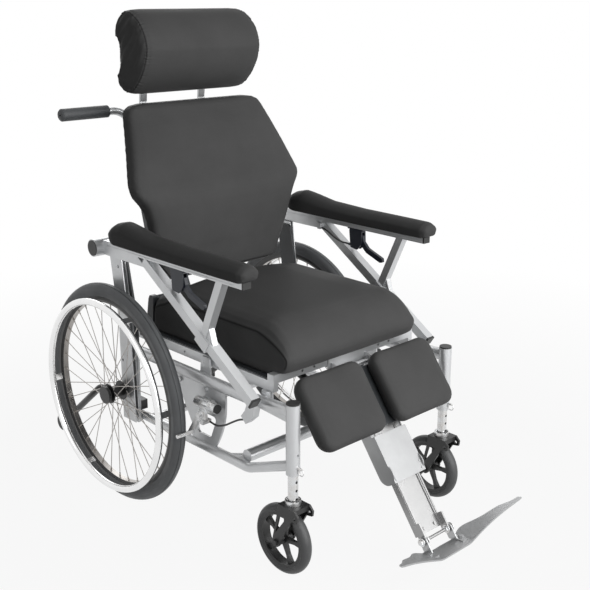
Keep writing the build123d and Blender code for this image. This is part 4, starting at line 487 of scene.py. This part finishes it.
vinyl = vinyl_finish("black_vinyl", 0.072, 0.44)
pad_vinyl = vinyl_finish("arm_pad_skin", 0.062, 0.46)
print("vinyl made")

# %% [markdown]
# ## Finishes on the CAD nodes
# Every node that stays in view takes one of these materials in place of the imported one.

# %% Assign
FINISH_OF = {
    "base_side": frame_paint, "upright": frame_paint, "cross_tubes": frame_paint, "arm_frame": frame_paint,
    "caster_housing": frame_paint, "seat_frame": frame_paint, "push_handle": frame_paint,
    "leg_hanger": frame_paint, "headrest_bars": frame_paint, "axle_plate": plate_finish,
    "antitip_tubes": black_metal, "tilt_spring_cylinder": black_metal, "caster_fork": black_metal,
    "recline_spring_cylinder": black_metal, "rear_wheel": wheel_finish, "tube_plugs": black_plastic,
    "caster_core": black_plastic, "back_shell": black_plastic, "lever_brackets": lever_plastic,
    "release_lever": lever_plastic, "brake_mount": zinc, "caster_stems": zinc, "brake_shoe": zinc,
    "bowden_cables": cable_black, "seat_pan": dark_metal, "back_frame": dark_metal,
    "calf_plate": dark_metal, "handle_grip": grip_rubber, "leg_channel": sheet_metal,
    "foot_plate": tread_sheet, "leg_slide": bright_profile, "tilt_spring_rod": spoke_steel,
    "recline_spring_rod": spoke_steel, "rear_tyre": tyre_grey, "handrim": handrim_alloy,
    "caster_tyre": caster_rubber, "antitip_wheel": caster_rubber, "seat_cushion": vinyl,
    "back_cushion": vinyl, "headrest_cushion": vinyl, "calf_pads": vinyl, "arm_pad": pad_vinyl,
}
for name, node in nodes.items():
    key = name.rsplit("_", 1)[0] if name.endswith(("_left", "_right")) else name
    for slot in node.material_slots:
        slot.material = FINISH_OF[key]
print("nodes finished:", len(nodes))

# %% [markdown]
# ## Padded pieces
# Each cushion starts as a welded copy of its CAD solid. It is remeshed to even squares, drawn in a
# little, and blown up by a short cloth simulation that is pinned along its seams and where it is
# glued down, so the panels swell between their seams as foam does under a sewn cover. Seams and
# gathers are pressed in afterwards, on the finer mesh, because a remesh would rub them out.

# %% Copy of a CAD solid
def welded_copy(node, name, keep_x=0):
    """The CAD node's mesh, merged, as a new object; keep_x keeps the half on that side."""
    mesh = nodes[node].data.copy()
    mesh.name = name
    mesh.materials.clear()
    build = bmesh.new()
    build.from_mesh(mesh)
    bmesh.ops.remove_doubles(build, verts=build.verts, dist=2e-5)
    if keep_x:
        other = [v for v in build.verts if v.co.x * keep_x < 0]
        bmesh.ops.delete(build, geom=other, context="VERTS")
    bmesh.ops.recalc_face_normals(build, faces=build.faces)
    build.to_mesh(mesh)
    build.free()
    for label in [a.name for a in mesh.color_attributes]:
        mesh.color_attributes.remove(mesh.color_attributes[label])
    return link_object(name, mesh)


def settled(piece):
    """Applies the piece's modifiers."""
    graph = bpy.context.evaluated_depsgraph_get()
    graph.update()
    mesh = bpy.data.meshes.new_from_object(piece.evaluated_get(graph))
    piece.modifiers.clear()
    old = piece.data
    piece.data = mesh
    mesh.name = piece.name
    bpy.data.meshes.remove(old)


# %% Points as arrays
def points_of(mesh, attribute=None):
    """Vertex positions, or a vector attribute, as an array."""
    source = mesh.vertices if attribute is None else mesh.attributes[attribute].data
    found = np.zeros(len(mesh.vertices) * 3, np.float32)
    source.foreach_get("co" if attribute is None else "vector", found)
    return found.reshape(-1, 3).astype(float)


def normals_of(mesh):
    found = np.zeros(len(mesh.vertices) * 3, np.float32)
    mesh.vertices.foreach_get("normal", found)
    return found.reshape(-1, 3).astype(float)


def set_points(mesh, points):
    mesh.vertices.foreach_set("co", points.astype(np.float32).ravel())
    mesh.update()


def step_up(value, low, high):
    """0 below low, 1 above high, smooth between."""
    share = np.clip((value - low) / (high - low), 0, 1)
    return share * share * (3 - 2 * share)


def near_line(value, line, width):
    """1 on the line, fading to 0 over about the width."""
    return np.exp(-((value - line) / width) ** 2)


# %% Even squares
def remeshed(piece, voxel, inset, loose):
    """Even squares, then drawn in along the normals; keeps the start as attribute 'start'."""
    cutter = piece.modifiers.new("even_squares", "REMESH")
    cutter.mode = "VOXEL"
    cutter.voxel_size = voxel
    settled(piece)
    mesh = piece.data
    start = points_of(mesh)
    kept = mesh.attributes.new("start", "FLOAT_VECTOR", "POINT")
    kept.data.foreach_set("vector", start.astype(np.float32).ravel())
    set_points(mesh, start - normals_of(mesh) * inset * loose(start)[:, None])


# %% [markdown]
# Left alone, the cloth solver leaves creases and dents that a foam pad under a taut cover hasn't.
# More steps would cost minutes, so each point's move is averaged with its neighbours' many times
# over instead, while pinned points hold still.

# %% Evening out the moves
EVEN_ROUNDS = 160


def evened(mesh, move, freedom):
    """Averages each move with its neighbours', so the cover stays taut instead of denting."""
    count = len(move)
    ends = np.zeros(len(mesh.edges) * 2, np.int32)
    mesh.edges.foreach_get("vertices", ends)
    first, second = ends.reshape(-1, 2).T
    share = 0.5 / np.bincount(ends, minlength=count)[:, None]
    held = np.minimum(1, freedom * 1.25)[:, None]
    for _ in range(EVEN_ROUNDS):
        around = [np.bincount(first, move[second, axis], count)
                  + np.bincount(second, move[first, axis], count) for axis in range(3)]
        move = (move * 0.5 + np.stack(around, axis=1) * share) * held
    return move


# %% Swelling
SWELL_STEPS = 20
CLOTH = {
    "quality": 4, "mass": 0.3, "tension_stiffness": 18, "compression_stiffness": 18,
    "shear_stiffness": 8, "bending_stiffness": 0.4, "use_pressure": True,
    "uniform_pressure_force": 4.0, "vertex_group_mass": "pins",
}


def blown_up(piece, loose, cap):
    """Some steps of cloth with inner pressure; points with loose 0 are pinned."""
    mesh = piece.data
    freedom = loose(points_of(mesh, "start"))
    pins = piece.vertex_groups.new(name="pins")
    for index in np.nonzero(freedom < 0.999)[0]:
        pins.add([int(index)], float(1 - freedom[index]), "REPLACE")
    cloth = piece.modifiers.new("swelling", "CLOTH")
    for key, value in CLOTH.items():
        setattr(cloth.settings, key, value)
    cloth.settings.effector_weights.gravity = 0
    cloth.point_cache.frame_start = 1
    cloth.point_cache.frame_end = SWELL_STEPS
    before = points_of(mesh)
    for step in range(1, SWELL_STEPS + 1):
        scene.frame_set(step)
    graph = bpy.context.evaluated_depsgraph_get()
    after = points_of(piece.evaluated_get(graph).data)
    piece.modifiers.clear()
    piece.vertex_groups.clear()
    scene.frame_set(1)
    move = after - before
    length = np.linalg.norm(move, axis=1)
    limit = cap * (1 - np.exp(-length / cap))
    set_points(mesh, before + evened(mesh, move * (limit / np.maximum(length, 1e-9))[:, None], freedom))
    return float(length.max())


# %% From solid to pad
def refined(piece):
    """One level of subdivision, applied, with smooth shading."""
    finer = piece.modifiers.new("finer", "SUBSURF")
    finer.levels = finer.render_levels = 1
    settled(piece)
    for face in piece.data.polygons:
        face.use_smooth = True


def swelled_pad(node, name, loose, voxel, inset, cap, keep_x=0):
    """A soft copy of the CAD node; cap is how far a point may move, all in metres."""
    piece = welded_copy(node, name, keep_x)
    remeshed(piece, voxel, inset, loose)
    print(name, "swelled by", blown_up(piece, loose, cap))
    refined(piece)
    return piece


# %% Seams and hand-over
def pressed_seam(piece, closeness, depth):
    """Presses a seam into the piece where closeness is near 1, and stores it for the painted seam shade."""
    mesh = piece.data
    near = closeness(points_of(mesh, "start"))
    set_points(mesh, points_of(mesh) - normals_of(mesh) * (near * depth)[:, None])
    seam = mesh.attributes.new("seam", "FLOAT", "POINT")
    seam.data.foreach_set("value", near.astype(np.float32))


def finished_pad(piece, body, node, material):
    """Material, body and hidden CAD node of one padded piece."""
    mesh = piece.data
    mesh.materials.clear()
    mesh.materials.append(material)
    if "seam" not in mesh.attributes:
        mesh.attributes.new("seam", "FLOAT", "POINT")
    mesh.attributes.remove(mesh.attributes["start"])
    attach(piece, body)
    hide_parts(node)
    print(piece.name, "faces", len(mesh.polygons))


# %% [markdown]
# ### Seat cushion
# A boxed cushion: one panel wraps over the front and the top, and a side panel is sewn along its
# edge. The seam runs up from the front corner and back along the side, as on the real cover.

# %% Seat cushion
SEAT_SEAM_X = 0.2330


def seat_seam(p):
    """Near 1 on the line where the side panel meets the wrapped panel."""
    return near_line(np.abs(p[:, 0]), SEAT_SEAM_X, 0.0006) * step_up(p[:, 2], 0.492, 0.500)


def seat_loose(p):
    """Pinned on its underside, and nearly so along its seams."""
    free = step_up(p[:, 2], 0.484, 0.500)
    return free * (1 - 0.9 * near_line(np.abs(p[:, 0]), SEAT_SEAM_X, 0.0012))


seat_pad = swelled_pad("seat_cushion", "seat_cushion_cover", seat_loose,
                       voxel=0.0055, inset=0.003, cap=0.009)
pressed_seam(seat_pad, seat_seam, depth=0.0022)
finished_pad(seat_pad, "seat", "seat_cushion", vinyl)

# %% [markdown]
# ### Back cushion
# A smooth crowned pad in one taut cover that is pulled round to the rear of its shell, so it has
# no seam in front. It is pinned only at the rear face.

# %% Back cushion
BACK_LEAN = math.radians(14.6)
BACK_ORIGIN = Vector((0, AXLE_Y, 0.592))
BACK_NORMAL = np.array((0, -math.cos(BACK_LEAN), math.sin(BACK_LEAN)))
BACK_UP = np.array((0, math.sin(BACK_LEAN), math.cos(BACK_LEAN)))
SHELL_UP = (0.0, 0.066, 0.134, 0.193, 0.212, 0.242, 0.276, 0.341, 0.407, 0.464)
SHELL_OUT = (0.025, 0.046, 0.072, 0.091, 0.093, 0.088, 0.079, 0.067, 0.053, 0.039)


def out_of_shell(p):
    """How far points stand out in front of the curved shell."""
    from_origin = p - np.array(BACK_ORIGIN)
    return from_origin @ BACK_NORMAL - np.interp(from_origin @ BACK_UP, SHELL_UP, SHELL_OUT)


def back_loose(p):
    """Pinned where it lies on the shell."""
    return step_up(out_of_shell(p), 0.006, 0.020)


back_pad = swelled_pad("back_cushion", "back_cushion_cover", back_loose,
                       voxel=0.006, inset=0.003, cap=0.009)
finished_pad(back_pad, "back", "back_cushion", vinyl)

# %% [markdown]
# ### Headrest
# A bolster whose tube of vinyl is gathered onto two end panels. The stitches pull the cover into
# many short creases round the seam, and the end panel has a few longer folds. The creases are
# moves along the normals that fade out with distance from the seam.

# %% Headrest's seam and pins
HEAD_SEAM_X = 0.1935
HEAD_Y = AXLE_Y + 0.063
HEAD_Z = 1.200


def head_front(p, rear, front):
    """0 behind the first place and 1 in front of the second, both behind the axle."""
    return step_up(-p[:, 1], -(AXLE_Y + rear), -(AXLE_Y + front))


def head_seam(p):
    """Near 1 on the two end seams, apart from the flat rear."""
    return near_line(np.abs(p[:, 0]), HEAD_SEAM_X, 0.0016) * head_front(p, 0.121, 0.112)


def head_loose(p):
    """Pinned at the flat rear, and nearly so along the end seams."""
    free = head_front(p, 0.122, 0.106)
    return free * (1 - 0.85 * near_line(np.abs(p[:, 0]), HEAD_SEAM_X, 0.004))


# %% Headrest
CREASES = 62
CREASE_DEPTH = 0.0024
FOLD_DEPTH = 0.0060


def gathered(piece):
    """Short creases across the end seams and longer folds on the end panels."""
    mesh = piece.data
    start = points_of(mesh, "start")
    dy = start[:, 1] - HEAD_Y
    dz = start[:, 2] - HEAD_Z
    turn = np.arctan2(dz, dy)
    from_seam = np.abs(start[:, 0]) - HEAD_SEAM_X
    side = np.sign(start[:, 0])
    wobble = np.array([noise.noise(Vector((math.cos(t) * 6 + s * 9, math.sin(t) * 6, 0.3)))
                       for t, s in zip(turn, side)])
    crease = np.sin(turn * CREASES + wobble * 7)
    strength = 0.55 + 0.45 * wobble * 2
    outside = np.where(from_seam < 0, np.exp(from_seam / 0.010), np.exp(-from_seam / 0.004))
    on_end = step_up(np.abs(start[:, 0]), 0.1955, 0.2005)
    folds = np.array([noise.noise(Vector(((y + z) * 34, (y - z) * 9, s * 5)))
                      for y, z, s in zip(dy, dz, side)])
    push = crease * strength * outside * CREASE_DEPTH + folds * on_end * FOLD_DEPTH
    push = push * head_front(start, 0.124, 0.114)
    set_points(mesh, points_of(mesh) + normals_of(mesh) * push[:, None])


head_pad = swelled_pad("headrest_cushion", "headrest_cover", head_loose,
                       voxel=0.005, inset=0.003, cap=0.008)
pressed_seam(head_pad, head_seam, depth=0.0016)
gathered(head_pad)
finished_pad(head_pad, "headrest", "headrest_cushion", vinyl)

# %% [markdown]
# ### Calf pads
# Two square pads with round corners on one plate. Each is simulated by itself, so that they stay
# a few millimetres apart.

# %% Calf pads
LEG_LEAN = math.radians(36.5)
LEG_ORIGIN = Vector((0, AXLE_Y - 0.574, 0.456))
LEG_NORMAL = np.array((0, -math.cos(LEG_LEAN), math.sin(LEG_LEAN)))


def calf_loose(p):
    """Pinned at the plate, which lies in the leg rest's own leaning plane."""
    return step_up((p - np.array(LEG_ORIGIN)) @ LEG_NORMAL, 0.006, 0.016)


for side, way in SIDES.items():
    calf_pad = swelled_pad("calf_pads", f"calf_pad_{side}", calf_loose,
                           voxel=0.0045, inset=0.0025, cap=0.006, keep_x=way)
    finished_pad(calf_pad, "leg_rest", "calf_pads", vinyl)

# %% [markdown]
# ### Arm pads
# Long pads on the arm beams, raised at the rear to hold the elbow. They are firmer than the
# cushions, so they swell less.

# %% Arm pads
def arm_loose(p):
    """Pinned at the beam."""
    return step_up(p[:, 2], 0.724, 0.732)


for side in SIDES:
    arm_pad = swelled_pad(f"arm_pad_{side}", f"arm_pad_cover_{side}", arm_loose,
                          voxel=0.0045, inset=0.002, cap=0.005)
    finished_pad(arm_pad, "base", f"arm_pad_{side}", pad_vinyl)

# %% [markdown]
# ## Spoke nipples
# Each spoke ends in a small nickel nipple at the rim. They could be part of the wheel's solid, but
# they are a different metal, so they are made here: each is a short cone with eight sides, which
# is enough for a piece that is repeated so often.

# %% Spoke nipples
WHEEL_X = 0.3434
SPOKES = 36
HUB_SWEEP = math.radians(52)
FLANGE_OUT = 0.019
FLANGE_R = 0.0245
NIPPLE_SEAT_R = 0.2552
NIPPLE_LENGTH = 0.012
for side, way in SIDES.items():
    build = bmesh.new()
    for number in range(SPOKES):
        angle = math.radians(360 / SPOKES * number)
        sweep = 1 if number % 4 < 2 else -1
        hub_angle = angle - HUB_SWEEP * sweep
        flange = WHEEL_X + (-FLANGE_OUT if number % 2 else FLANGE_OUT)
        start = Vector((flange, AXLE_Y + FLANGE_R * math.cos(hub_angle),
                        AXLE_Z + FLANGE_R * math.sin(hub_angle)))
        end = Vector((WHEEL_X, AXLE_Y + NIPPLE_SEAT_R * math.cos(angle),
                      AXLE_Z + NIPPLE_SEAT_R * math.sin(angle)))
        run = (start - end).normalized()
        turn = run.to_track_quat("Z", "Y").to_matrix().to_4x4()
        middle = end + run * (NIPPLE_LENGTH / 2)
        bmesh.ops.create_cone(build, cap_ends=True, segments=8, radius1=0.0024, radius2=0.0017,
                              depth=NIPPLE_LENGTH, matrix=Matrix.Translation(middle) @ turn)
    if way < 0:
        bmesh.ops.transform(build, matrix=Matrix.Scale(-1, 4, (1, 0, 0)), verts=build.verts)
        bmesh.ops.recalc_face_normals(build, faces=build.faces)
    nipples = built(f"spoke_nipples_{side}", build, nickel)
    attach(nipples, f"rear_wheel_{side}")
    print(nipples.name, len(nipples.data.polygons))

# %% [markdown]
# ## Handle grips
# The grips are smooth rubber sleeves pushed onto the handle tubes. They could be lathed anew, but
# the CAD grip already has the right place and end, so its shallow rings and collar are brought to
# one radius about its own axis here.

# %% Handle grips
GRIP_R = 0.0166
GRIP_SKIN_R = 0.0155
for side in SIDES:
    grip = welded_copy(f"handle_grip_{side}", f"grip_sleeve_{side}")
    mesh = grip.data
    points = points_of(mesh)
    middle = points.mean(axis=0)
    axis = np.linalg.svd(points - middle, full_matrices=False)[2][0]
    on_axis = middle + ((points - middle) @ axis)[:, None] * axis
    radial = points - on_axis
    radius = np.linalg.norm(radial, axis=1)
    wanted = np.where(radius > GRIP_SKIN_R, GRIP_R, radius)
    set_points(mesh, on_axis + radial * (wanted / np.maximum(radius, 1e-9))[:, None])
    mesh.set_sharp_from_angle(angle=math.radians(32))
    mesh.materials.append(grip_rubber)
    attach(grip, f"push_handle_{side}")
    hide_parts(f"handle_grip_{side}")
    print(grip.name, "radius", GRIP_R)

# %% [markdown]
# ## Footplate hinge bolts
# The footplate's two straps turn on bolts with broad washers. They are small fasteners that the
# solids leave out. Each is a washer and a hexagon head on either side of its strap.

# %% Footplate hinge bolts
PIN_DOWN = 0.459
PIN_OUT = 0.005
STRAP_FACES = ((0.0542, 1), (0.0398, -1))
WASHER_AND_HEAD = ((0.0018, 0.0108, 28, 0.0), (0.0046, 0.0078, 6, 0.0018))
EDGE_ANGLE = 1.2


def leg_place(x, down, out):
    """A point in the leg rest's own frame: across, down from its upper end, out of its front."""
    y = LEG_ORIGIN.y - down * math.sin(LEG_LEAN) - out * math.cos(LEG_LEAN)
    z = LEG_ORIGIN.z - down * math.cos(LEG_LEAN) + out * math.sin(LEG_LEAN)
    return Vector((x, y, z))


build = bmesh.new()
for way in SIDES.values():
    for x, outward in STRAP_FACES:
        for depth, radius, segments, start in WASHER_AND_HEAD:
            centre = leg_place(way * (x + outward * (start + depth / 2)), PIN_DOWN, PIN_OUT)
            place = Matrix.Translation(centre) @ Matrix.Rotation(math.pi / 2, 4, "Y")
            bmesh.ops.create_cone(build, cap_ends=True, segments=segments, radius1=radius,
                                  radius2=radius, depth=depth, matrix=place)
edges = [edge for edge in build.edges if not edge.is_boundary and edge.calc_face_angle(0) > EDGE_ANGLE]
bmesh.ops.bevel(build, geom=edges, offset=0.0004, segments=2, affect="EDGES", profile=0.5, material=-1)
bolts = built("footplate_bolts", build, zinc)
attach(bolts, "leg_slide")
print(bolts.name, len(bolts.data.polygons))
